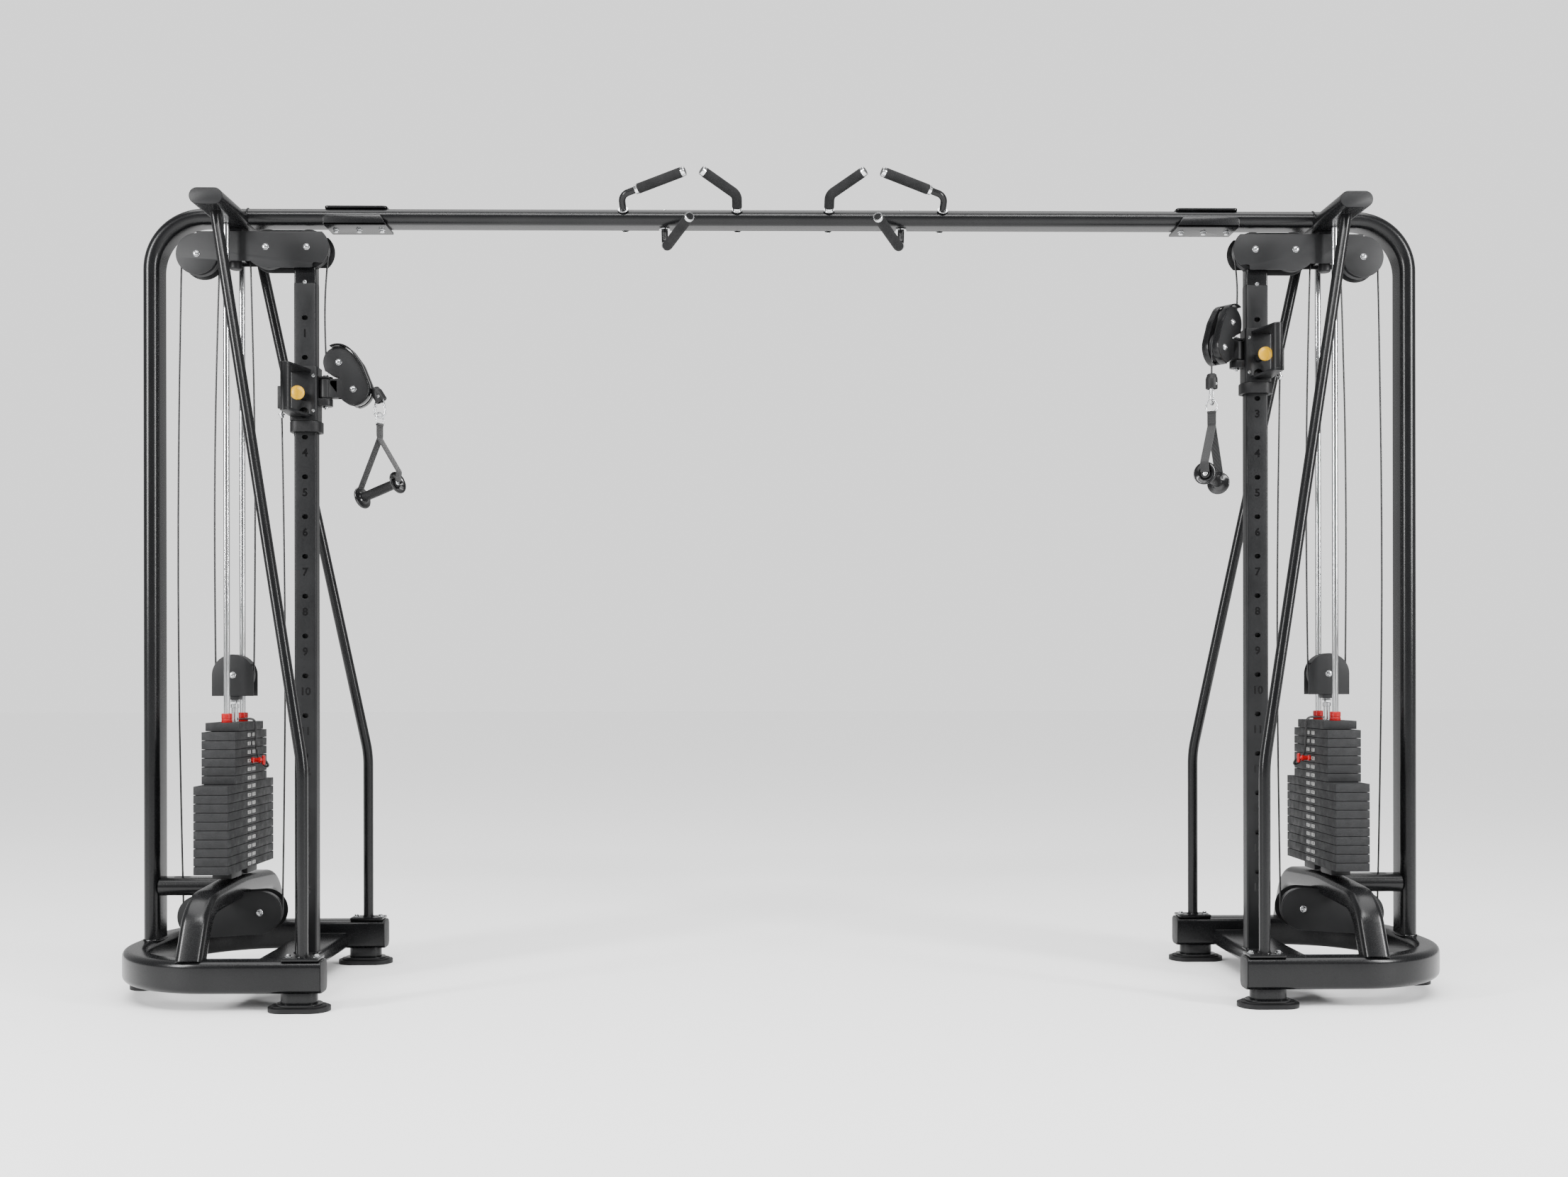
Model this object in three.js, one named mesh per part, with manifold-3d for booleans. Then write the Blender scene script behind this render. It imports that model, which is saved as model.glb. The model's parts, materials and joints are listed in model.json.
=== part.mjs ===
// Cable crossover machine: two weight-stack towers joined by a beam with pull-up handles.
// Millimetres, +Z up. Origin at floor level, midway between the towers.
// Towers are drawn for +X and mirrored for -X.
import * as THREE from 'three';
import { mergeVertices } from 'three/addons/utils/BufferGeometryUtils.js';
import Module from 'manifold-3d';

const wasm = await Module();
wasm.setup();

// ---------- driving dimensions ----------
const GAP = 0.3; // between separate pieces that touch

const BASE = {
  armY: 387, armEndX: 1352, outerX: 1997, bendR: 310,
  width: 75, low: 53, high: 149, corner: 20,
  crossX: [1474, 1634], crossTop: 104,
};
const FOOT = { x: 1421, length: 181, width: 105, thick: 14, bossLength: 107, bossWidth: 62 };
const ARCH = {
  x: 1736, width: 78, thick: 70, bendR: 120,
  footY: 393, footZ: 137, kneeY: 318, kneeZ: 296, topZ: 315,
};
const OVAL = { wide: 100, thin: 50 };
const UPRIGHT_X = 1986;
const BEAM = { z: 2424, bendR: 167, seamX: 1340 };
const TEE = { x: 1728, z: 2413, halfLength: 283 };
const BRACE = { r: 16.5, x: 1412, y: 387, bendZ: 712, topX: 1724, topY: 206, topZ: 2383 };
const MAST = { x: 1508, width: 70, depth: 44, top: 2217.5, holeTop: 2108, pitch: 125.5, holes: 15 };
const ROD = { x: 1736, y: 75, r: 9.5 };
const SHEAVE = { cableR: 60, rimR: 62, width: 20, pinR: 6, boreR: 6.7 };
const CABLE_R = 2.8;
const TOP = { outer: [1842, 2305], mid: [1626, 2327.5], inner: [1498, 2327.5] };
const LOW = { outer: [1838, 222], inner: [1647, 234] };
const COVER = { r: 65, inside: 34, outside: 38, clipZ: 2376 };
const STACK = {
  x: 1736, pitch: 27, plate: 26, base: 374, wideCount: 10, narrowCount: 6, liftedCount: 4,
  depth: 104, wide: 446, narrow: 306, head: 236, sheaveZ: 981, stemR: 11,
};
const ARM = {
  pivotX: 1448, sheaveR: 47, cableR: 44.5, upper: [44.5, 112], lower: [90, 27],
  plateIn: 13, plateOut: 17, guardHalf: 30,
};
const GRIP = { r: 15, flangeR: 36, halfSpan: 70, flange: 7, drop: 227 };
const HANDLE_BAR = { foamR: 16, barR: 10.5 };

// Where each tower's carriage stands and how its pulley arm and handle hang.
const TOWERS = [
  {
    name: 'left', side: -1, hole: 3, swivel: 0, stop: [150.5, 34.5], stopDrop: 58.6,
    ringX: 170, ringTop: 4, hookTurn: 0, handleTurn: 27, tilt: 16,
  },
  {
    name: 'right', side: 1, hole: 2, swivel: 40, stop: [137, -58], stopDrop: 90,
    ringX: 137, ringTop: -93, hookTurn: 18, handleTurn: 18, tilt: 6,
  },
];

// ---------- materials ----------
const finish = (color, roughness, metalness) => new THREE.MeshStandardMaterial({ color, roughness, metalness });
const POWDER_COAT = finish(0x17181a, 0.42, 0.3);
const SATIN_BLACK = finish(0x1c1d1f, 0.55, 0.2);
const CHROME = finish(0xc8cacc, 0.15, 1.0);
const IRON = finish(0x2b2c2e, 0.8, 0.3);
const PULLEY = finish(0x222326, 0.5, 0.0);
const CABLE = finish(0x101010, 0.4, 0.0);
const RED = finish(0xb4141c, 0.35, 0.0);
const YELLOW = finish(0xf2c500, 0.35, 0.0);
const WEBBING = finish(0x151515, 0.9, 0.0);

// ---------- solids ----------
function toSolid(geometry) {
  geometry.deleteAttribute('normal');
  geometry.deleteAttribute('uv');
  const merged = mergeVertices(geometry, 1e-3);
  const index = merged.index.array;
  const kept = [];
  for (let i = 0; i < index.length; i += 3) {
    const [a, b, c] = [index[i], index[i + 1], index[i + 2]];
    if (a !== b && b !== c && c !== a) kept.push(a, b, c);
  }
  const mesh = new wasm.Mesh({
    numProp: 3,
    vertProperties: Float32Array.from(merged.attributes.position.array),
    triVerts: Uint32Array.from(kept),
  });
  return new wasm.Manifold(mesh);
}

const join = (...solids) => solids.flat().reduce((all, next) => all.add(next));
const cut = (body, ...tools) => tools.flat().reduce((left, tool) => left.subtract(tool), body);

// Local x, y and z of an outline's extrusion laid along the named world axes.
const LAYOUTS = {
  Z: new THREE.Matrix4(),
  Y: new THREE.Matrix4().makeBasis(
    new THREE.Vector3(1, 0, 0), new THREE.Vector3(0, 0, 1), new THREE.Vector3(0, -1, 0)),
  X: new THREE.Matrix4().makeBasis(
    new THREE.Vector3(0, 1, 0), new THREE.Vector3(0, 0, 1), new THREE.Vector3(1, 0, 0)),
};

// An outline in the plane across an axis, extruded along that axis from low to high.
// Each arc of the outline gets the given even number of edges: three.js doubles curveSegments on arcs.
function prism(axis, outline, low, high, edges = 4) {
  const geometry = new THREE.ExtrudeGeometry(outline, {
    depth: high - low, bevelEnabled: false, curveSegments: edges / 2,
  });
  geometry.translate(0, 0, axis === 'Y' ? -high : low);
  return toSolid(geometry.applyMatrix4(LAYOUTS[axis]));
}

function box(x, y, z) {
  const geometry = new THREE.BoxGeometry(x[1] - x[0], y[1] - y[0], z[1] - z[0]);
  return toSolid(geometry.translate((x[0] + x[1]) / 2, (y[0] + y[1]) / 2, (z[0] + z[1]) / 2));
}

// A solid turned about the vertical line at x.
const turned = (solid, x, degrees) => solid.translate([-x, 0, 0]).rotate([0, 0, degrees]).translate([x, 0, 0]);

const around = (centre, half) => [centre - half, centre + half];

// A closed straight-sided outline through the given corners.
const polygon = (corners) => new THREE.Shape(corners.map(([u, v]) => new THREE.Vector2(u, v)));

function circle(u, v, r) {
  return new THREE.Shape().absarc(u, v, r, 0, 2 * Math.PI);
}

const disc = (axis, u, v, r, low, high, sides = 8) => prism(axis, circle(u, v, r), low, high, sides);

function roundedRect(u, v, width, height, r) {
  const [left, right] = around(u, width / 2);
  const [bottom, top] = around(v, height / 2);
  const shape = new THREE.Shape();
  shape.absarc(right - r, top - r, r, 0, Math.PI / 2);
  shape.absarc(left + r, top - r, r, Math.PI / 2, Math.PI);
  shape.absarc(left + r, bottom + r, r, Math.PI, 1.5 * Math.PI);
  shape.absarc(right - r, bottom + r, r, 1.5 * Math.PI, 2 * Math.PI);
  return shape;
}

// The convex outline round a set of circles, each [u, v, r].
function hull(circles, sides = 16) {
  const points = [];
  for (const [u, v, r] of circles) {
    for (let i = 0; i < sides; i++) {
      const angle = (2 * Math.PI * i) / sides;
      points.push([u + r * Math.cos(angle), v + r * Math.sin(angle)]);
    }
  }
  points.sort((a, b) => a[0] - b[0] || a[1] - b[1]);
  const turn = (a, b, c) => (b[0] - a[0]) * (c[1] - a[1]) - (b[1] - a[1]) * (c[0] - a[0]);
  const chain = (list) => {
    const out = [];
    for (const point of list) {
      while (out.length > 1 && turn(out.at(-2), out.at(-1), point) <= 1e-6) out.pop();
      out.push(point);
    }
    return out.slice(0, -1);
  };
  const outline = [...chain(points), ...chain([...points].reverse())];
  return polygon(outline);
}

// A path through fixed stations, whose section keeps one side along a given direction.
class Stations extends THREE.Curve {
  constructor(points, side) {
    super();
    this.points = points;
    this.side = side;
  }
  getPoint(t, target = new THREE.Vector3()) {
    return target.copy(this.points[Math.round(t * (this.points.length - 1))]);
  }
  getSpacedPoints() {
    return this.points;
  }
  computeFrenetFrames() {
    const last = this.points.length - 1;
    const frames = { tangents: [], normals: [], binormals: [] };
    this.points.forEach((point, i) => {
      const before = this.points[Math.max(i - 1, 0)];
      const after = this.points[Math.min(i + 1, last)];
      const tangent = new THREE.Vector3().subVectors(after, before).normalize();
      if (i > 0 && i < last) {
        const arriving = new THREE.Vector3().subVectors(point, before).normalize();
        const leaving = new THREE.Vector3().subVectors(after, point).normalize();
        tangent.addVectors(arriving, leaving).normalize();
      }
      const normal = new THREE.Vector3().crossVectors(this.side, tangent).normalize();
      frames.tangents.push(tangent);
      frames.normals.push(normal);
      frames.binormals.push(new THREE.Vector3().crossVectors(tangent, normal));
    });
    return frames;
  }
}

// Corners rounded to the given radii; a corner with radius 0 stays a station.
function filleted(corners, radii, stepDegrees = 15) {
  const points = corners.map((corner) => new THREE.Vector3(...corner));
  const stations = [points[0]];
  for (let i = 1; i < points.length - 1; i++) {
    const back = new THREE.Vector3().subVectors(points[i - 1], points[i]).normalize();
    const ahead = new THREE.Vector3().subVectors(points[i + 1], points[i]).normalize();
    const turn = Math.PI - back.angleTo(ahead);
    const inward = new THREE.Vector3().addVectors(back, ahead).normalize();
    const centre = points[i].clone().addScaledVector(inward, radii[i] / Math.cos(turn / 2));
    const start = points[i].clone().addScaledVector(back, radii[i] * Math.tan(turn / 2)).sub(centre);
    const axis = new THREE.Vector3().crossVectors(ahead, back).normalize();
    const steps = Math.max(2, Math.ceil(THREE.MathUtils.radToDeg(turn) / stepDegrees));
    for (let k = 0; k <= steps; k++) {
      stations.push(start.clone().applyAxisAngle(axis, (turn * k) / steps).add(centre));
    }
  }
  stations.push(points.at(-1));
  return stations;
}

function sweep(section, stations, side = new THREE.Vector3(0, 1, 0), edges = 4) {
  return toSolid(new THREE.ExtrudeGeometry(section, {
    steps: stations.length - 1, curveSegments: edges / 2, bevelEnabled: false,
    extrudePath: new Stations(stations, side),
  }));
}

const rod = (from, to, r, sides = 10) => {
  const [a, b] = [new THREE.Vector3(...from), new THREE.Vector3(...to)];
  const along = new THREE.Vector3().subVectors(b, a).normalize();
  const side = Math.abs(along.y) < 0.8 ? new THREE.Vector3(0, 1, 0) : new THREE.Vector3(1, 0, 0);
  return sweep(circle(0, 0, r), [a, b], side, sides);
};

// ---------- shared pieces ----------
// A grooved wheel on a bore, its axis along Y.
function sheave([x, z], rimR, width) {
  const half = width / 2;
  const profile = [
    [SHEAVE.boreR, -half], [rimR, -half], [rimR - 9.5, 0],
    [rimR, half], [SHEAVE.boreR, half], [SHEAVE.boreR, -half],
  ];
  const points = profile.map(([r, y]) => new THREE.Vector2(r, y));
  return toSolid(new THREE.LatheGeometry(points, 12)).translate([x, 0, z]);
}

const ovalAcrossY = () => roundedRect(0, 0, OVAL.thin, OVAL.wide, OVAL.thin / 2 - 0.01);

// ---------- fixed frame of one tower ----------
function baseTube() {
  const midZ = (BASE.low + BASE.high) / 2;
  const corners = [
    [BASE.armEndX, -BASE.armY, midZ], [BASE.outerX, -BASE.armY, midZ],
    [BASE.outerX, BASE.armY, midZ], [BASE.armEndX, BASE.armY, midZ],
  ];
  const section = roundedRect(0, 0, BASE.width, BASE.high - BASE.low, BASE.corner);
  return sweep(section, filleted(corners, [0, BASE.bendR, BASE.bendR], 23), new THREE.Vector3(0, 0, 1), 2);
}

function foot(x, y, alongX) {
  const oval = (length, width) => (alongX
    ? roundedRect(x, y, length, width, width / 2 - 0.01)
    : roundedRect(x, y, width, length, width / 2 - 0.01));
  const pad = prism('Z', oval(FOOT.length, FOOT.width), 0, FOOT.thick, 2);
  const boss = prism('Z', oval(FOOT.bossLength, FOOT.bossWidth), FOOT.thick - 1, BASE.low + 2, 2);
  return join(pad, boss);
}

function riserArch() {
  const corners = [
    [ARCH.x, -ARCH.footY, ARCH.footZ], [ARCH.x, -ARCH.kneeY, ARCH.kneeZ], [ARCH.x, 0, ARCH.topZ],
    [ARCH.x, ARCH.kneeY, ARCH.kneeZ], [ARCH.x, ARCH.footY, ARCH.footZ],
  ];
  const section = roundedRect(0, 0, ARCH.thick, ARCH.width, 20);
  return sweep(section, filleted(corners, [0, ARCH.bendR, 1, ARCH.bendR], 31), new THREE.Vector3(1, 0, 0), 2);
}

// Flat-oval tube from the riser to the upright, slotted where the outer cable passes.
function linkTube() {
  const tube = prism('X', roundedRect(0, 315, 96, 56, 27.9), ARCH.x, UPRIGHT_X - OVAL.thin / 2 - GAP);
  const slot = prism('Z', roundedRect(1901, 0, 54, 20, 9.9), 280, 350, 2);
  return cut(tube, slot);
}

function lowPulleyCovers() {
  const outline = hull([[...LOW.inner, 67], [...LOW.outer, 67]]);
  const near = prism('Y', outline, -COVER.outside, -COVER.inside);
  const far = prism('Y', outline, COVER.inside, COVER.outside);
  const pins = Object.values(LOW).map(([x, z]) => disc('Y', x, z, SHEAVE.pinR, -COVER.outside - 2, COVER.outside + 2));
  return join(near, far, pins);
}

function baseFrame() {
  const crossTube = prism('Y',
    roundedRect((BASE.crossX[0] + BASE.crossX[1]) / 2, (BASE.low + BASE.crossTop) / 2,
      BASE.crossX[1] - BASE.crossX[0], BASE.crossTop - BASE.low, 14),
    -BASE.armY + 20, BASE.armY - 20, 2);
  const feet = [foot(FOOT.x, -BASE.armY, true), foot(FOOT.x, BASE.armY, true), foot(BASE.outerX, 0, false)];
  const frame = join(baseTube(), crossTube, feet, riserArch(), linkTube(), lowPulleyCovers());
  return frame;
}

function spliceFlanges() {
  const [topZ, lowZ] = [BEAM.z + OVAL.thin / 2, BEAM.z - OVAL.thin / 2];
  const weld = [BEAM.seamX + 5, 1441];
  const reach = [1246, BEAM.seamX + 5];
  const upper = join(box(weld, [-44, 44], [topZ - 1, topZ + 7]), box(reach, [-44, 44], [topZ + GAP, topZ + 7]));
  const lower = join(box(weld, [-56, 56], [lowZ - 7, lowZ + 1]), box(reach, [-56, 56], [lowZ - 7, lowZ - GAP]));
  const lips = [-1, 1].map((s) => {
    const y = [50.4, 56].map((value) => value * s).sort((a, b) => a - b);
    const side = polygon([
      [reach[0], lowZ - 7], [weld[1], lowZ - 7], [weld[1], BEAM.z - 6], [weld[1] - 6, BEAM.z],
      [reach[0] + 18, BEAM.z], [reach[0], lowZ - 4],
    ]);
    return prism('Y', side, y[0], y[1]);
  });
  return join(upper, lower, lips);
}

function cornerFrame() {
  const corners = [
    [UPRIGHT_X, 0, BASE.high + GAP], [UPRIGHT_X, 0, BEAM.z], [BEAM.seamX + GAP / 2, 0, BEAM.z],
  ];
  const bentTube = sweep(ovalAcrossY(), filleted(corners, [0, BEAM.bendR], 15), new THREE.Vector3(0, 1, 0));
  const tee = prism('Y', roundedRect(TEE.x, TEE.z, OVAL.wide, OVAL.thin, OVAL.thin / 2 - 0.01),
    -TEE.halfLength, TEE.halfLength);
  return join(bentTube, tee, spliceFlanges());
}

function brace(s) {
  const y = s * BRACE.y;
  const plate = box([1357, 1467], around(y, 36), [BASE.high + GAP, BASE.high + 8]);
  const corners = [
    [BRACE.x, y, BASE.high + 6], [BRACE.x, y, BRACE.bendZ], [BRACE.topX, s * BRACE.topY, BRACE.topZ],
  ];
  const route = filleted(corners, [0, 400], 5);
  const tube = sweep(circle(0, 0, BRACE.r), route, new THREE.Vector3(0.5, s, 0).normalize(), 12);
  return join(plate, tube);
}

function mast() {
  const [bottom, front] = [BASE.crossTop + GAP, -MAST.depth / 2];
  const tube = prism('Z', roundedRect(MAST.x, 0, MAST.width, MAST.depth, 6), bottom, MAST.top, 2);
  const holes = [];
  for (let i = 0; i < MAST.holes; i++) {
    const z = MAST.holeTop - i * MAST.pitch;
    holes.push(disc('Y', MAST.x, z, 8.5, front - 1, front + 14));
  }
  return cut(tube, holes);
}

// The two guide rods, with the rubber bumpers that the stack rests on and the bar between them.
function guideRods() {
  const archTop = ARCH.topZ + ARCH.thick / 2 + GAP;
  const bumperTop = STACK.base - GAP;
  const solids = [box(around(ROD.x, 16), [-40, 40], [archTop, archTop + 8])];
  for (const s of [-1, 1]) {
    solids.push(box(around(ROD.x, 30), around(s * ROD.y, 48), [archTop, bumperTop]));
    solids.push(disc('Z', ROD.x, s * ROD.y, ROD.r, archTop, TEE.z - OVAL.thin / 2 - GAP, 12));
  }
  return join(solids);
}

function topPulleyHousing() {
  const outline = [
    hull([[1493, 2328, COVER.r], [1626, 2328, COVER.r]]),
    roundedRect(1734, 2329.5, 216, 93, 4),
    circle(...TOP.outer, COVER.r),
  ];
  const plate = (low, high) => join(outline.map((shape) => prism('Y', shape, low, high, 16)));
  const plates = join(plate(-COVER.outside, -COVER.inside), plate(COVER.inside, COVER.outside));
  const armRoom = box([1420, 1476], [-60, 60], [2250, 2279]);
  const clipped = cut(plates, armRoom, box([1400, 1920], [-60, 60], [COVER.clipZ, COVER.clipZ + 40]));
  const pins = Object.values(TOP).map(([x, z]) => disc('Y', x, z, SHEAVE.pinR, -COVER.outside - 2, COVER.outside + 2));
  const hanger = box([1702, 1768], [-36, 36], [2290, TEE.z - OVAL.thin / 2 - GAP]);
  const bumper = box([1712, 1750], [-20, 20], [2264, 2292]);
  const mastCap = box([1470, 1546], [-38, 38], [2256, 2264]);
  const mastPlug = box([1476, 1540], [-19, 19], [MAST.top + GAP, 2258]);
  return join(clipped, pins, hanger, bumper, mastCap, mastPlug);
}

// ---------- weight stack ----------
const plateTop = (index) => STACK.base + (STACK.wideCount + STACK.narrowCount - index) * STACK.pitch;

// A pile of plates from one index to another, counted from the top, with a seam between each.
function plates(first, last) {
  const seam = 3;
  const solids = [];
  for (let i = first; i < last; i++) {
    const length = i < STACK.narrowCount ? STACK.narrow : STACK.wide;
    const top = plateTop(i);
    solids.push(box(around(STACK.x, STACK.depth / 2), around(0, length / 2), [top - STACK.plate, top - GAP]));
    if (i + 1 < last) {
      const half = Math.min(length, i + 1 < STACK.narrowCount ? STACK.narrow : STACK.wide) / 2 - seam;
      const seamZ = [top - STACK.pitch - 1, top - STACK.plate + 1];
      solids.push(box(around(STACK.x, STACK.depth / 2 - seam), around(0, half), seamZ));
    }
  }
  const [low, high] = [plateTop(last) - 5, plateTop(first) + 5];
  const bores = [-1, 0, 1].map((s) => disc('Z', STACK.x, s * ROD.y, s ? 11 : 12.5, low, high));
  return cut(join(solids), bores);
}

const pinZ = plateTop(STACK.liftedCount - 1) - STACK.plate / 2;
const pinBore = () => prism('X', circle(0, pinZ, 5), 1670, STACK.x + 14, 8);

function stackHead() {
  const low = plateTop(0) + GAP;
  const top = low + STACK.plate;
  const sheaveBottom = STACK.sheaveZ - SHEAVE.rimR;
  const plate = box(around(STACK.x, STACK.depth / 2), around(0, STACK.head / 2), [low, top]);
  const stem = disc('Z', STACK.x, 0, STACK.stemR, STACK.base + 2, sheaveBottom - 6, 12);
  const yoke = box(around(STACK.x, 20), [-20, 20], [sheaveBottom - 16, sheaveBottom - 2]);
  const outline = join(
    disc('Y', STACK.x, STACK.sheaveZ, 65.5, -22, 22, 16),
    box(around(STACK.x, 65.5), [-22, 22], [STACK.sheaveZ - 66, STACK.sheaveZ]));
  const covers = cut(outline, box(around(STACK.x, 80), [-18, 18], [880, 1060]));
  const pin = disc('Y', STACK.x, STACK.sheaveZ, SHEAVE.pinR, -24, 24);
  const collars = [-1, 1].map((s) => disc('Z', STACK.x, s * ROD.y, 16.5, top - 1, top + 28, 10));
  const rodBores = [-1, 1].map((s) => disc('Z', STACK.x, s * ROD.y, 11, low - 5, top + 40));
  return cut(join(plate, stem, yoke, covers, pin, collars), rodBores, pinBore());
}

const pinFace = STACK.x - STACK.depth / 2;

function selectorPin() {
  return join(
    rod([STACK.x, 0, pinZ], [pinFace - 5, 0, pinZ], 4, 8),
    rod([pinFace - 2, 0, pinZ], [pinFace - 28, 0, pinZ], 9, 8),
    rod([pinFace - 27, 0, pinZ], [pinFace - 36, 0, pinZ], 5, 8),
    rod([pinFace - 38, 0, pinZ - 15], [pinFace - 38, 0, pinZ + 15], 5.5, 8));
}

// The curly cord that ties the selector pin to the head, as one tube of its outer diameter.
function lanyard() {
  const top = plateTop(0) + GAP + STACK.plate;
  const route = [
    [STACK.x - 13, 0, top + 8], [STACK.x - 34, 4, top + 9], [pinFace + 3, 9, top + 9], [pinFace - 8, 12, top - 1],
    [pinFace - 9, 14, top - 26], [pinFace - 8.5, 17, top - 60], [pinFace - 9, 22, pinZ + 34],
    [pinFace - 15, 27, pinZ + 4], [pinFace - 30, 27, pinZ - 18], [pinFace - 44, 22, pinZ - 21],
    [pinFace - 46, 16, pinZ - 12], [pinFace - 38, 14, pinZ - 1],
  ];
  const curve = new THREE.CatmullRomCurve3(route.map((point) => new THREE.Vector3(...point)));
  return sweep(circle(0, 0, 4), curve.getSpacedPoints(22), new THREE.Vector3(0.2, 1, 0.3).normalize(), 8);
}

// ---------- carriage; z counts from the mast hole it is pinned in ----------
function carriage() {
  const innerX = around(MAST.x, MAST.width / 2 + 1.5);
  const innerY = [-MAST.depth / 2 - 1.5, MAST.depth / 2 + 1.5];
  const sleeve = prism('Z', roundedRect(MAST.x + 2.5, 0, 87, 66, 9), -75, 96, 2);
  const collar = prism('Z', roundedRect(MAST.x, 0, 100, 76, 12), -110, -74, 2);
  const ears = [[61.3, 67], [-26, -3.3]].map(([low, high]) => (
    prism('Z', hull([[ARM.pivotX, 0, 22], [1466, 0, 22]], 12), low, high)));
  const pivotPin = disc('Z', ARM.pivotX, 0, 6, -30, 68);
  const lug = box([1550, 1598], [-14, 14], [-34, 38]);
  const cableEnd = disc('Z', 1587, 0, 6, -62, -33, 8);
  const boss = disc('Y', MAST.x, 0, 13, -62, -30, 10);
  const grip = disc('Z', 1530, -150, 16, -60, 86, 10);
  const gripPlate = (low) => prism('Z', hull([[1530, -150, 16.4], [1547, -32, 5], [1491, -32, 5]], 12), low, low + 8);
  const solid = join(sleeve, collar, ears, pivotPin, lug, cableEnd, boss, grip, gripPlate(78), gripPlate(-63));
  const mastHole = box(innerX, innerY, [-120, 110]);
  const barrelRoom = disc('Z', ARM.pivotX, 0, 20.8, -3, 61, 16);
  return cut(solid, mastHole, barrelRoom, disc('Y', MAST.x, 0, 6.8, -70, -20));
}

function plunger() {
  const knob = disc('Y', MAST.x, 0, 22, -112, -98, 14);
  const neck = disc('Y', MAST.x, 0, 11, -99, -64);
  const shaft = disc('Y', MAST.x, 0, 6, -70, -24);
  return join(knob, neck, shaft);
}

// ---------- swivelling arm; x counts out from the pivot towards the other tower as -x ----------
const onArm = ([r, z], radius) => [-r, z, radius];

function pulleyArm() {
  const cheek = hull([onArm(ARM.upper, 49), onArm([62, 76], 56), onArm(ARM.lower, 49)]);
  const notch = polygon([[20, 61], [-44, 61], [-36, 66], [20, 80]]);
  const tongue = roundedRect(-45, 27, 90, 56, 4);
  const cheeks = [[-ARM.plateOut, -ARM.plateIn], [ARM.plateIn, ARM.plateOut]].map(([low, high]) => (
    join(
      cut(prism('Y', cheek, low, high), prism('Y', notch, low - 1, high + 1)),
      prism('Y', tongue, low, high, 2),
    )));
  const trimmed = cheeks.map((solid) => cut(solid, box([-18, 30], [-40, 40], [-10, 62])));
  const block = box([-41, -14], [-ARM.plateOut, ARM.plateOut], [0, 55]);
  const barrel = disc('Z', 0, 0, 20, -1, 59, 12);
  const outer = hull([onArm(ARM.upper, 57), onArm([62, 76], 64), onArm(ARM.lower, 56)], 18);
  const inner = hull([onArm(ARM.upper, 53), onArm([62, 76], 60), onArm(ARM.lower, 52)], 18);
  const ring = cut(prism('Y', outer, -ARM.guardHalf, ARM.guardHalf), prism('Y', inner, -40, 40));
  const openSide = polygon([[60, 200], [-22, 200], [-60, 100], [-78, 20], [-96, -60], [60, -60]]);
  const slot = polygon([
    [-70, 200], [-40, 150], [-60, 60], [-116, -16], [-124, -60], [-200, -60], [-200, 200],
  ]);
  const stopRoom = box([-170, -128], [-20, 20], [-20, 56]);
  const guard = cut(ring, prism('Y', openSide, -40, 40), prism('Y', slot, -8, 8), stopRoom);
  const webs = [
    box([-57, -47], [-ARM.plateOut, ARM.plateOut], [160, 167]),
    box([-104, -92], [-ARM.plateOut, ARM.plateOut], [-28, -21]),
  ];
  const pins = [ARM.upper, ARM.lower].map(([r, z]) => disc('Y', -r, z, SHEAVE.pinR, -ARM.plateOut - 2, ARM.plateOut + 2));
  return cut(join(trimmed, block, barrel, guard, webs, pins), disc('Z', 0, 0, 6.8, -20, 80));
}

// Rubber stop on the cable's end, and the snap hook that hangs from it.
function snapHook(tower) {
  const drop = THREE.MathUtils.degToRad(tower.stopDrop);
  const [r, z] = tower.stop;
  const along = [-Math.cos(drop), 0, -Math.sin(drop)];
  const at = (distance) => [-r + along[0] * distance, 0, z + along[2] * distance];
  const stop = join(rod(at(2.5), at(16), 15, 12), rod(at(15), at(50), 18.5, 14));
  const ferrule = rod(at(43), [-tower.ringX, 0, tower.ringTop - 4], 5, 8);
  const ringHalf = 32;
  const middle = tower.ringTop - ringHalf;
  const hoop = cut(
    prism('Y', roundedRect(-tower.ringX, middle, 42, 2 * ringHalf + 8, 20.9), -4, 4),
    prism('Y', roundedRect(-tower.ringX, middle, 26, 2 * ringHalf - 8, 12.9), -6, 6));
  return join(stop, ferrule, turned(hoop, -tower.ringX, tower.hookTurn));
}

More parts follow.
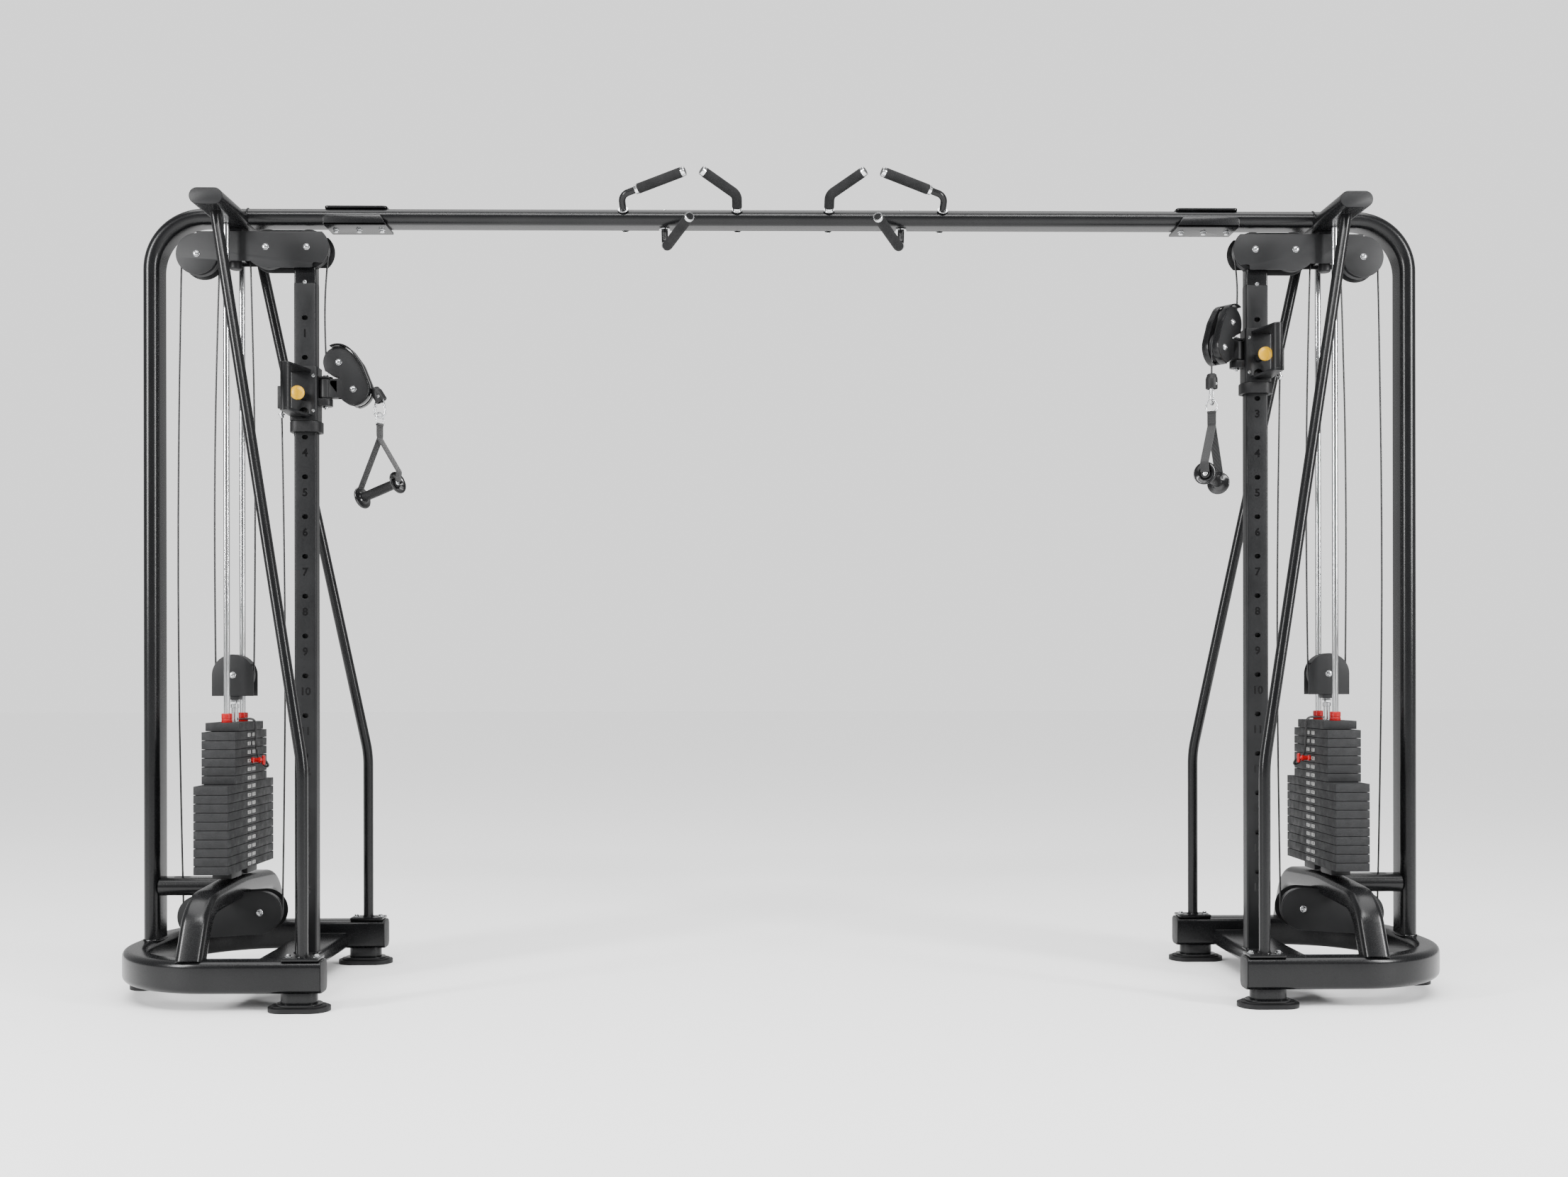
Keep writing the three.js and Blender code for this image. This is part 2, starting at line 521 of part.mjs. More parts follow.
// D-ring across the hook, webbing legs and grip. The grip's outer end hangs higher by the tower's tilt,
// and the whole handle is turned a little towards the user.
function strapHandle(tower) {
  const hookLow = tower.ringTop - 68;
  const [apexX, apexZ] = [-tower.ringX, hookLow - 4];
  const tilt = THREE.MathUtils.degToRad(tower.tilt);
  const gripZ = hookLow - GRIP.drop;
  const end = (distance) => [apexX - distance * Math.cos(tilt), 0, gripZ + distance * Math.sin(tilt)];
  const ringZ = hookLow - 0.5;
  const loop = cut(
    prism('X', roundedRect(0, ringZ, 40, 34, 14), apexX - 2.5, apexX + 2.5, 8),
    prism('X', roundedRect(0, ringZ, 30, 24, 9), apexX - 5, apexX + 5, 8));
  const web = polygon([[-1.5, -12.5], [1.5, -12.5], [1.5, 12.5], [-1.5, 12.5]]);
  const leg = (s) => {
    const corners = [
      [apexX - s * 1.2, 0, apexZ - 11], [apexX - s * 1.2, 0, apexZ - 52], end(s * (GRIP.halfSpan + 2)),
    ];
    return sweep(web, filleted(corners, [0, 12]), new THREE.Vector3(0, 1, 0), 2);
  };
  const flanges = [-1, 1].map((s) => rod(end(s * GRIP.halfSpan), end(s * (GRIP.halfSpan + GRIP.flange)), GRIP.flangeR, 14));
  const tube = rod(end(-GRIP.halfSpan - 10), end(GRIP.halfSpan + 10), GRIP.r, 10);
  return turned(join(loop, leg(-1), leg(1), flanges, tube), apexX, tower.handleTurn);
}

// ---------- cable ----------
// Stations of a cable round a run of pulleys, in one plane. Each wheel is [u, v, r, turn],
// turn +1 anticlockwise; slack is the sideways bow of the run that arrives at the wheel.
function cableRoute(start, wheels, finishPoint) {
  const stops = [[...start, 0, 1, 0], ...wheels, [...finishPoint, 0, 1, finishPoint[2] ?? 0]];
  const runs = [];
  for (let i = 0; i + 1 < stops.length; i++) {
    const [a, b] = [stops[i], stops[i + 1]];
    const [du, dv] = [b[0] - a[0], b[1] - a[1]];
    const distance = Math.hypot(du, dv);
    const offset = b[2] * b[3] - a[2] * a[3];
    const heading = Math.atan2(dv, du) - Math.asin(offset / distance);
    const right = [Math.sin(heading), -Math.cos(heading)];
    const leave = [a[0] + right[0] * a[2] * a[3], a[1] + right[1] * a[2] * a[3]];
    const arrive = [b[0] + right[0] * b[2] * b[3], b[1] + right[1] * b[2] * b[3]];
    runs.push({ leave, arrive, right, slack: b[4] ?? 0 });
  }
  const points = [];
  runs.forEach((run, i) => {
    const bends = run.slack ? 5 : 1;
    for (let k = 0; k <= bends; k++) {
      const t = k / bends;
      const bow = run.slack * Math.sin(Math.PI * t);
      points.push([0, 1].map((n) => run.leave[n] + (run.arrive[n] - run.leave[n]) * t + run.right[n] * bow));
    }
    if (i + 1 === runs.length) return;
    const [u, v, r, turn] = stops[i + 1];
    const from = Math.atan2(run.arrive[1] - v, run.arrive[0] - u);
    let to = Math.atan2(runs[i + 1].leave[1] - v, runs[i + 1].leave[0] - u);
    while ((to - from) * turn < 0) to += 2 * Math.PI * turn;
    const steps = Math.ceil(Math.abs(to - from) / 0.55);
    for (let k = 1; k < steps; k++) {
      const angle = from + ((to - from) * k) / steps;
      points.push([u + r * Math.cos(angle), v + r * Math.sin(angle)]);
    }
  });
  return points;
}

function cable(tower, holeZ) {
  const wheelR = SHEAVE.cableR;
  const armTop = holeZ + ARM.upper[1] + 60;
  const tower2d = cableRoute([1587, holeZ - 62 - GAP], [
    [...LOW.inner, wheelR, 1, 9], [...LOW.outer, wheelR, 1], [...TOP.outer, wheelR, 1, 14],
    [STACK.x, STACK.sheaveZ, wheelR, -1, -9], [...TOP.mid, wheelR, 1, -9], [...TOP.inner, wheelR, 1],
  ], [ARM.pivotX, armTop]);
  const arm2d = cableRoute([0, ARM.upper[1] + 20], [
    [...ARM.upper, ARM.cableR, 1], [...ARM.lower, ARM.cableR, -1],
  ], tower.stop);
  const angle = THREE.MathUtils.degToRad(tower.swivel);
  const stations = [
    ...tower2d.map(([x, z]) => new THREE.Vector3(x, 0, z)),
    ...arm2d.map(([r, z]) => new THREE.Vector3(ARM.pivotX - r * Math.cos(angle), -r * Math.sin(angle), holeZ + z)),
  ];
  return sweep(circle(0, 0, CABLE_R), stations, new THREE.Vector3(-Math.sin(angle) * 0.5, 1, 0).normalize(), 8);
}

// ---------- beam and pull-up handles ----------
function centreBeam() {
  const halfLength = BEAM.seamX - GAP / 2;
  return prism('X', roundedRect(0, BEAM.z, OVAL.wide, OVAL.thin, OVAL.thin / 2 - 0.01), -halfLength, halfLength);
}

// A bent bar with a fatter foam grip over its last straight.
function handleBar(corners, bendR, gripFrom, gripR) {
  const stations = filleted(corners, corners.map(() => bendR), 20);
  const side = new THREE.Vector3(1, 0.3, 0.2).normalize();
  const bar = sweep(circle(0, 0, HANDLE_BAR.barR), stations, side, 10);
  const [knee, tip] = corners.slice(-2).map((corner) => new THREE.Vector3(...corner));
  const start = knee.clone().lerp(tip, gripFrom);
  return join(bar, rod(start.toArray(), tip.toArray(), gripR, 12));
}

const PULL_UP_HANDLES = {
  inner: () => handleBar([[145, -43.2, 2442.2], [145, -81, 2481], [254, -140, 2540]], 32, 0.15, HANDLE_BAR.foamR),
  outer: () => handleBar([[503, -43.2, 2442.2], [506, -80, 2480], [304, -138, 2538]], 32, 0.2, HANDLE_BAR.foamR),
  lower: () => handleBar([[376, 0, 2397.4], [374, -6, 2332], [287, -190, 2383]], 24, 0.2, HANDLE_BAR.foamR),
};

// ---------- assembly ----------
const machine = new THREE.Group();

function toMesh(name, solid, material, mirrored) {
  const { numProp, vertProperties, triVerts } = solid.getMesh();
  const positions = new Float32Array((vertProperties.length / numProp) * 3);
  for (let i = 0; i < positions.length / 3; i++) {
    positions[3 * i] = vertProperties[numProp * i] * (mirrored ? -1 : 1);
    positions[3 * i + 1] = vertProperties[numProp * i + 1];
    positions[3 * i + 2] = vertProperties[numProp * i + 2];
  }
  const index = Array.from(triVerts);
  if (mirrored) {
    for (let i = 0; i < index.length; i += 3) [index[i + 1], index[i + 2]] = [index[i + 2], index[i + 1]];
  }
  const geometry = new THREE.BufferGeometry();
  geometry.setAttribute('position', new THREE.BufferAttribute(positions, 3));
  geometry.setIndex(index);
  geometry.computeVertexNormals();
  const mesh = new THREE.Mesh(geometry, material.clone());
  mesh.name = name;
  return mesh;
}

function buildTower(tower) {
  const { name, side, swivel } = tower;
  const mirrored = side < 0;
  const holeZ = MAST.holeTop - (tower.hole - 1) * MAST.pitch;
  const put = (parent, node, solid, material) => parent.add(toMesh(`${node}_${name}`, solid, material, mirrored));
  const group = new THREE.Group();

  put(group, 'base_frame', baseFrame(), POWDER_COAT);
  put(group, 'corner_frame', cornerFrame(), POWDER_COAT);
  put(group, 'front_brace', brace(-1), POWDER_COAT);
  put(group, 'rear_brace', brace(1), POWDER_COAT);
  put(group, 'mast', mast(), SATIN_BLACK);
  put(group, 'guide_rods', guideRods(), CHROME);
  put(group, 'top_pulley_housing', topPulleyHousing(), POWDER_COAT);
  for (const [place, centre] of Object.entries(TOP)) {
    put(group, `top_pulley_${place}`, sheave(centre, SHEAVE.rimR, SHEAVE.width), PULLEY);
  }
  for (const [place, centre] of Object.entries(LOW)) {
    put(group, `bottom_pulley_${place}`, sheave(centre, SHEAVE.rimR, SHEAVE.width), PULLEY);
  }
  put(group, 'stack_head', stackHead(), SATIN_BLACK);
  put(group, 'stack_pulley', sheave([STACK.x, STACK.sheaveZ], SHEAVE.rimR, SHEAVE.width), PULLEY);
  put(group, 'plates_lifted', cut(plates(0, STACK.liftedCount), pinBore()), IRON);
  put(group, 'plates_resting', plates(STACK.liftedCount, STACK.wideCount + STACK.narrowCount), IRON);
  put(group, 'selector_pin', selectorPin(), RED);
  put(group, 'lanyard', lanyard(), CABLE);
  put(group, 'cable', cable(tower, holeZ), CABLE);

  const carriageGroup = new THREE.Group();
  carriageGroup.position.z = holeZ;
  put(carriageGroup, 'carriage', carriage(), SATIN_BLACK);
  put(carriageGroup, 'plunger', plunger(), YELLOW);

  const armGroup = new THREE.Group();
  armGroup.position.x = side * ARM.pivotX;
  armGroup.rotation.z = side * THREE.MathUtils.degToRad(swivel);
  put(armGroup, 'pulley_arm', pulleyArm(), POWDER_COAT);
  put(armGroup, 'arm_pulley_upper', sheave([-ARM.upper[0], ARM.upper[1]], ARM.sheaveR, SHEAVE.width), PULLEY);
  put(armGroup, 'arm_pulley_lower', sheave([-ARM.lower[0], ARM.lower[1]], ARM.sheaveR, SHEAVE.width), PULLEY);
  put(armGroup, 'snap_hook', snapHook(tower), CHROME);
  put(armGroup, 'strap_handle', strapHandle(tower), WEBBING);
  carriageGroup.add(armGroup);
  group.add(carriageGroup);
  return group;
}

for (const tower of TOWERS) machine.add(buildTower(tower));
machine.add(toMesh('centre_beam', centreBeam(), POWDER_COAT, false));
for (const [place, make] of Object.entries(PULL_UP_HANDLES)) {
  machine.add(toMesh(`pull_up_${place}_left`, make(), SATIN_BLACK, true));
  machine.add(toMesh(`pull_up_${place}_right`, make(), SATIN_BLACK, false));
}

export default machine;
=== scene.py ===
import json
import math

import bmesh
import bpy
from mathutils import Matrix, Vector


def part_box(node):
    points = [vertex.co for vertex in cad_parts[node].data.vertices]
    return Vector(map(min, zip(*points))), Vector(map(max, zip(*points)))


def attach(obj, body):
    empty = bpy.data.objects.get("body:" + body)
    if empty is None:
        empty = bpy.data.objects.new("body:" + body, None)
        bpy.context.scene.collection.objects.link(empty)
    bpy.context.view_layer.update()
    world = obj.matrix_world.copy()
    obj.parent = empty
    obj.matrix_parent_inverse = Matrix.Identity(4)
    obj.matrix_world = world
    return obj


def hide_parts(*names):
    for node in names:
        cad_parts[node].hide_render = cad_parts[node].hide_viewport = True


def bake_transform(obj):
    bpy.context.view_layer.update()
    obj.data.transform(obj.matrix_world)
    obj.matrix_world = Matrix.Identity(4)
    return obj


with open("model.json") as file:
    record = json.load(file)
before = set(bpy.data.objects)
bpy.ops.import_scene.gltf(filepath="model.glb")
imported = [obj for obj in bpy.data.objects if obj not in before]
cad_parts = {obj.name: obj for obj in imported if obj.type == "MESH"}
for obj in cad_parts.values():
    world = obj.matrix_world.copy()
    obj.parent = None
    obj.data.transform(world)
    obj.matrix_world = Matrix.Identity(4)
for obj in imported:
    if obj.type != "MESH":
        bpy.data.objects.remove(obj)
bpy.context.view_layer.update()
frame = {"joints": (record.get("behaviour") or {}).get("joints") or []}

# Shapes are drawn in millimetres for the tower on the +X side, and mirrored for the other one.
MM = 0.001
ROOT = "frame"
X, Y, Z = Vector((1, 0, 0)), Vector((0, 1, 0)), Vector((0, 0, 1))


# ---------- places taken from the frame ----------
def span(node):
    low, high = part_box(node)
    return low / MM, high / MM


def centre(node):
    low, high = span(node)
    return (low + high) / 2


def joint(name):
    return next(j for j in frame["joints"] if j["name"] == name)


MAST_X = centre("mast_right").x
MAST_LOW, MAST_TOP = [corner.z for corner in span("mast_right")]
MAST_HOLES = {"first": 109.5, "pitch": 125.5, "count": 15}
ROD = {"x": centre("guide_rods_right").x, "y": 75, "r": 9.5}
TOP = {place: centre(f"top_pulley_{place}_right") for place in ("outer", "mid", "inner")}
LOW = {place: centre(f"bottom_pulley_{place}_right") for place in ("outer", "inner")}
STACK_PULLEY = centre("stack_pulley_right")
PLATE = {"pitch": 27, "high": 25.6, "deep": 104, "wide": 446, "narrow": 306, "narrow_count": 6, "count": 16}
LIFTED = 4
STACK_BASE = span("plates_resting_right")[0].z
STACK_FACE = centre("plates_resting_right").x - PLATE["deep"] / 2
HEAD_TOP = STACK_BASE + PLATE["count"] * PLATE["pitch"] + 26.3
PIN_Z = centre("selector_pin_right").z
BEAM_Z = centre("centre_beam").z
SEAM_X = span("centre_beam")[1].x
UPRIGHT_X = span("corner_frame_right")[1].x - 25
TEE = {"x": 1728, "z": 2413, "half": span("corner_frame_right")[1].y}
SHEAVE_CABLE_R = 60
CABLE_R = 2.8
BASE_Y = 387
BRACE_X = 1412
# The arm's pulleys: how far out from the pivot, and how far above the hole that the carriage is pinned in.
UPPER, LOWER = (44.5, 112), (90, 27)
ARM_CABLE_R = 44.5
SHEAVE_RIM, ARM_RIM = 62, 47


# ---------- outlines ----------
def arc(u, v, r, start, end, steps=12):
    angles = [math.radians(start + (end - start) * k / steps) for k in range(steps + 1)]
    return [(u + r * math.cos(a), v + r * math.sin(a)) for a in angles]


def ring(r, sides=32):
    return arc(0, 0, r, 0, 360, sides)[:-1]


def rounded(width, height, r, u=0, v=0, steps=6):
    half_u, half_v = width / 2 - r, height / 2 - r
    corners = [(half_u, half_v, 0), (-half_u, half_v, 90), (-half_u, -half_v, 180), (half_u, -half_v, 270)]
    return [p for du, dv, start in corners for p in arc(u + du, v + dv, r, start, start + 90, steps)]


def oval(width, height, u=0, v=0, steps=10):
    return rounded(width, height, min(width, height) / 2 - 0.01, u, v, steps)


def convex(circles, sides=72):
    """The outline round a set of circles (u, v, r)."""
    points = sorted((u + p, v + q) for u, v, r in circles for p, q in ring(r, sides))

    def chain(run):
        kept = []
        for c in run:
            while len(kept) > 1:
                a, b = kept[-2], kept[-1]
                if (b[0] - a[0]) * (c[1] - a[1]) - (b[1] - a[1]) * (c[0] - a[0]) > 1e-6:
                    break
                kept.pop()
            kept.append(c)
        return kept[:-1]

    return chain(points) + chain(points[::-1])


def fillet(corners, radii, step=5):
    """A path whose inner corners are rounded to the given radii, with a point every few degrees."""
    points = [Vector(c) for c in corners]
    path = [points[0]]
    for before, at, after, r in zip(points, points[1:], points[2:], radii):
        back, ahead = (before - at).normalized(), (after - at).normalized()
        turn = math.pi - back.angle(ahead)
        middle = at + (back + ahead).normalized() * (r / math.cos(turn / 2))
        start = at + back * (r * math.tan(turn / 2)) - middle
        axis = ahead.cross(back).normalized()
        steps = max(2, math.ceil(math.degrees(turn) / step))
        path += [Matrix.Rotation(turn * k / steps, 3, axis) @ start + middle for k in range(steps + 1)]
    return path + [points[-1]]


# ---------- shapes: (vertices, faces) in millimetres ----------
def merge(*shapes):
    verts, faces = [], []
    for shape_verts, shape_faces in shapes:
        offset = len(verts)
        verts += shape_verts
        faces += [tuple(i + offset for i in face) for face in shape_faces]
    return verts, faces


def placed(shape, matrix):
    return [matrix @ Vector(v) for v in shape[0]], shape[1]


def at(shape, x=0, y=0, z=0):
    return placed(shape, Matrix.Translation((x, y, z)))


def loft(rings, closed=False):
    """Skins rings of equal length. An open row of rings gets end caps."""
    count = len(rings[0])
    verts = [Vector(v) for each in rings for v in each]
    faces = []
    for i in range(len(rings) if closed else len(rings) - 1):
        a, b = i * count, ((i + 1) % len(rings)) * count
        for k in range(count):
            n = (k + 1) % count
            faces.append((a + k, a + n, b + n, b + k))
    if not closed:
        faces.append(tuple(reversed(range(count))))
        faces.append(tuple(range(len(verts) - count, len(verts))))
    return verts, faces


def tangents(path, closed=False):
    """The direction of the path at each of its points."""
    if closed:
        ends = zip([path[-1]] + path[:-1], path[1:] + [path[0]])
    else:
        ends = zip([path[0]] + path[:-1], path[1:] + [path[-1]])
    return [(after - before).normalized() for before, after in ends]


def section_at(point, tangent, normal, outline):
    """A flat outline (u, v) standing across the tangent, u along the normal."""
    binormal = tangent.cross(normal)
    return [point + normal * u + binormal * v for u, v in outline]


def sweep(outline, path, side=Y):
    """An outline (u, v) along a path. v lies along side, as far as the path allows."""
    path = [Vector(p) for p in path]
    return loft([section_at(point, tangent, side.cross(tangent).normalized(), outline)
                 for point, tangent in zip(path, tangents(path))])


def round_tube(path, r, sides=20, closed=False):
    """A round tube along any path, its section carried without twist."""
    path = [Vector(p) for p in path]
    directions = tangents(path, closed)
    normal = directions[0].orthogonal().normalized()
    rings = []
    for point, tangent in zip(path, directions):
        normal = (normal - tangent * normal.dot(tangent)).normalized()
        rings.append(section_at(point, tangent, normal, ring(r, sides)))
    return loft(rings, closed)


AXES = {
    "Z": Matrix.Identity(4),
    "Y": Matrix(((1, 0, 0, 0), (0, 0, 1, 0), (0, 1, 0, 0), (0, 0, 0, 1))),
    "X": Matrix(((0, 0, 1, 0), (1, 0, 0, 0), (0, 1, 0, 0), (0, 0, 0, 1))),
}


def slab(outline, axis, low, high, edge=0.0):
    """An outline extruded along an axis, with its rims rounded off by edge."""
    shape = loft([[(u, v, h) for u, v in outline] for h in (low, high)])
    shape = placed(shape, AXES[axis])
    return softened(shape, edge) if edge else shape


def mesh_of(name, verts, faces, weld=None):
    """A mesh whose faces all point out, with points closer than weld joined."""
    mesh = bpy.data.meshes.new(name)
    mesh.from_pydata(verts, [], faces)
    work = bmesh.new()
    work.from_mesh(mesh)
    if weld:
        bmesh.ops.remove_doubles(work, verts=work.verts, dist=weld)
    bmesh.ops.recalc_face_normals(work, faces=work.faces)
    work.to_mesh(mesh)
    work.free()
    return mesh


def linked(name, data):
    made = bpy.data.objects.new(name, data)
    bpy.context.collection.objects.link(made)
    return made


def softened(shape, edge, segments=2, limit=35):
    """The shape with every edge sharper than the limit rounded off."""
    mesh = mesh_of("softened", *shape)
    work = bmesh.new()
    work.from_mesh(mesh)
    sharp = [e for e in work.edges if e.is_manifold and e.calc_face_angle() > math.radians(limit)]
    bmesh.ops.bevel(work, geom=sharp, offset=edge, segments=segments, profile=0.6, affect="EDGES",
                    clamp_overlap=True)
    work.verts.index_update()
    result = [v.co.copy() for v in work.verts], [tuple(v.index for v in f.verts) for f in work.faces]
    work.free()
    bpy.data.meshes.remove(mesh)
    return result


def block(x, y, z, edge=1.0):
    outline = [(x[0], y[0]), (x[1], y[0]), (x[1], y[1]), (x[0], y[1])]
    return slab(outline, "Z", z[0], z[1], edge)


def around(middle, half):
    return middle - half, middle + half


def lathe(profile, sides=48):
    """A profile of (r, z) turned about Z. A profile that starts and ends off the axis is closed on itself."""
    solid = profile[0][0] == 0 and profile[-1][0] == 0
    turned = profile[1:-1] if solid else profile
    return loft([[(u, v, z) for u, v in ring(r, sides)] for r, z in turned], closed=not solid)


def between(shape, start, end):
    """A shape drawn up from the origin along Z, laid from start towards end."""
    start, end = Vector(start), Vector(end)
    turn = Z.rotation_difference(end - start).to_matrix().to_4x4()
    return placed(shape, Matrix.Translation(start) @ turn)


def standing(shape, start, direction):
    return between(shape, start, Vector(start) + Vector(direction))


def both_sides(near, far):
    """The two spans that lie between near and far of a middle plane."""
    return (-far, -near), (near, far)


def rod(start, end, r, edge=0.8, sides=32):
    length = (Vector(end) - Vector(start)).length
    profile = [(0, 0), (r - edge, 0), (r, edge), (r, length - edge), (r - edge, length), (0, length)]
    return between(lathe(profile, sides), start, end)


def washer_plate(r, edge, high):
    return lathe([(0, 0), (r - 0.5, 0), (r, 0.5), (r, edge), (r - 0.5, high), (0, high)], 32)


def hexagon(across, low, high):
    return loft([[(u, v, h) for u, v in ring(across / 1.73, 6)] for h in (low, high)])


def hex_bolt(start, direction, across=13, head=8, washer=11.5):
    """Washer, and a hexagon head with a chamfered crown."""
    body = hexagon(across, 1.8, head - 1.4)
    profile = [(0, head - 1.6), (across / 2, head - 1.6), (across / 2 - 0.6, head - 0.4)]
    crown = lathe(profile + [(across / 2 - 2, head), (0, head)], 24)
    return standing(merge(washer_plate(washer, 1.3, 1.8), softened(body, 0.4), crown), start, direction)


def button_bolt(start, direction, r=8.5, washer=10.5):
    """Washer and domed head with a socket in its middle."""
    dome = [(0, 1.5), (r, 1.5), (r, 2.4), (r - 1.4, 4.6), (r - 4, 5.8)]
    dome += [(3.4, 6), (3.1, 5.7), (3.1, 3), (0, 3)]
    return standing(merge(washer_plate(washer, 1.2, 1.7), lathe(dome, 32)), start, direction)


def nut(start, direction, across=13, high=7):
    thread = lathe([(0, 0), (4, 0), (4, high + 3), (3.2, high + 3.8), (0, high + 3.8)], 20)
    return standing(merge(softened(hexagon(across, 0, high), 0.5), thread), start, direction)


# ---------- materials ----------
def wire(tree, made, **inputs):
    """Sets a node's inputs, and links those that are given a socket."""
    for key, value in inputs.items():
        socket = made.inputs[key.replace("_", " ")]
        if isinstance(value, bpy.types.NodeSocket):
            tree.links.new(value, socket)
        else:
            socket.default_value = value
    return made


def node(tree, kind, **inputs):
    return wire(tree, tree.nodes.new("ShaderNode" + kind), **inputs)


def shader(name, color, roughness, metallic=0.0, **inputs):
    material = bpy.data.materials.new(name)
    material.use_nodes = True
    tree = material.node_tree
    bsdf = tree.nodes["Principled BSDF"]
    wire(tree, bsdf, Base_Color=(*color, 1), Roughness=roughness, Metallic=metallic, **inputs)
    return material, tree, bsdf


def grain(tree, scale, stretch=(1, 1, 1), detail=3.0):
    """A noise in the object's own metres; scale is its cells for each metre."""
    place = node(tree, "TexCoord").outputs["Object"]
    mapped = node(tree, "Mapping", Vector=place, Scale=stretch).outputs["Vector"]
    return node(tree, "TexNoise", Vector=mapped, Scale=scale, Detail=detail).outputs["Fac"]


def to_range(tree, value, low, high, start=0.3, end=0.7):
    made = node(tree, "MapRange", Value=value, From_Min=start, From_Max=end, To_Min=low, To_Max=high)
    return made.outputs["Result"]


def blend_colors(tree, factor, first, second):
    made = tree.nodes.new("ShaderNodeMix")
    made.data_type = "RGBA"
    wire(tree, made, Factor=factor, A=(*first, 1), B=(*second, 1))
    return made.outputs["Result"]


def bump(tree, bsdf, height, strength, depth):
    made = node(tree, "Bump", Height=height, Strength=strength, Distance=depth)
    wire(tree, bsdf, Normal=made.outputs["Normal"])


def textured(name, dark, light, rough, speckle, depth, strength=0.5, worn=6, **inputs):
    """A coating: broad uneven wear between two colours, and a fine grain that roughens and dimples it."""
    material, tree, bsdf = shader(name, dark, rough[0], **inputs)
    wear = to_range(tree, grain(tree, worn), 0, 1)
    fine = grain(tree, speckle, detail=4)
    wire(tree, bsdf, Base_Color=blend_colors(tree, wear, dark, light), Roughness=to_range(tree, fine, *rough))
    bump(tree, bsdf, fine, strength, depth)
    return material


def cast_iron():
    """Dark paint on a sandy casting, with pale flecks."""
    material, tree, bsdf = shader("stack_iron", (0.05, 0.05, 0.052), 0.7, Specular_IOR_Level=0.25)
    speck = grain(tree, 1400, detail=2)
    flecks = to_range(tree, speck, 0, 1, 0.46, 0.66)
    color = blend_colors(tree, flecks, (0.005, 0.0052, 0.0056), (0.036, 0.0365, 0.038))
    wire(tree, bsdf, Base_Color=color, Roughness=to_range(tree, grain(tree, 40), 0.55, 0.8))
    bump(tree, bsdf, speck, 0.6, 0.0004)
    return material


def drawn_metal(name, color, rough, stretch, depth=0.12):
    """Plated metal with faint lines along its length."""
    material, tree, bsdf = shader(name, color, rough[0], 1.0)
    lines = grain(tree, 420, stretch)
    shade = to_range(tree, grain(tree, 9), 0, 1)
    worn = blend_colors(tree, shade, tuple(c * 0.82 for c in color), color)
    wire(tree, bsdf, Base_Color=worn, Roughness=to_range(tree, lines, *rough))
    bump(tree, bsdf, lines, depth, 0.0001)
    return material


def woven():
    """Webbing: crossing ribs, one set across and one along the strap."""
    material, tree, bsdf = shader("strap_webbing", (0.02, 0.02, 0.021), 0.85, Sheen_Weight=0.25)
    place = node(tree, "TexCoord").outputs["Object"]
    crossed = tree.nodes.new("ShaderNodeMath")
    crossed.operation = "MULTIPLY"
    for socket, direction in zip(crossed.inputs, ("Y", "DIAGONAL")):
        ribs = node(tree, "TexWave", Vector=place, Scale=210, Distortion=0.4)
        ribs.bands_direction = direction
        tree.links.new(ribs.outputs["Fac"], socket)
    weave = crossed.outputs["Value"]
    wire(tree, bsdf, Base_Color=blend_colors(tree, weave, (0.003, 0.003, 0.0035), (0.02, 0.02, 0.021)))
    bump(tree, bsdf, weave, 0.7, 0.0006)
    return material


POWDER = textured("frame_powder_coat", (0.0035, 0.0036, 0.004), (0.006, 0.0062, 0.0066), (0.2, 0.3),
                  520, 0.0003, 0.14, Specular_IOR_Level=0.27)
COVER = textured("cover_powder_coat", (0.006, 0.0062, 0.0066), (0.010, 0.0102, 0.0108), (0.38, 0.56),
                 900, 0.0004, 0.5, Specular_IOR_Level=0.24)
SATIN = textured("satin_black_paint", (0.004, 0.0042, 0.0046), (0.008, 0.0082, 0.0088), (0.34, 0.48),
                 260, 0.0003, 0.25, worn=12, Specular_IOR_Level=0.22)
IRON = cast_iron()
CHROME = drawn_metal("chrome", (0.80, 0.81, 0.82), (0.10, 0.24), (1, 1, 0.02))
ZINC = drawn_metal("zinc_hook", (0.58, 0.59, 0.60), (0.2, 0.3), (0.3, 0.3, 0.3), 0.04)
NYLON = textured("pulley_nylon", (0.01, 0.01, 0.011), (0.018, 0.018, 0.019), (0.4, 0.6), 300, 0.0003)
JACKET = textured("cable_jacket", (0.004, 0.004, 0.0045), (0.008, 0.008, 0.0085), (0.28, 0.42), 600, 0.0001)
RUBBER = textured("black_rubber", (0.004, 0.004, 0.0045), (0.009, 0.009, 0.0095), (0.42, 0.6),
                  700, 0.0004, Specular_IOR_Level=0.25)
FOAM = textured("foam_grip", (0.004, 0.0042, 0.0046), (0.010, 0.010, 0.0105), (0.72, 0.9),
                620, 0.0011, 0.8, worn=25, Specular_IOR_Level=0.25)
RED = textured("red_plastic", (0.26, 0.0, 0.002), (0.36, 0.001, 0.003), (0.18, 0.3), 200, 0.0001, 0.2)
YELLOW = textured("yellow_plastic", (0.55, 0.29, 0.0), (0.6, 0.33, 0.0), (0.3, 0.42),
                  200, 0.0001, 0.2, Specular_IOR_Level=0.3)
WEBBING = woven()
GLOSS = textured("gloss_moulding", (0.004, 0.004, 0.0045), (0.008, 0.008, 0.0085), (0.14, 0.24),
                 240, 0.0002, 0.2)
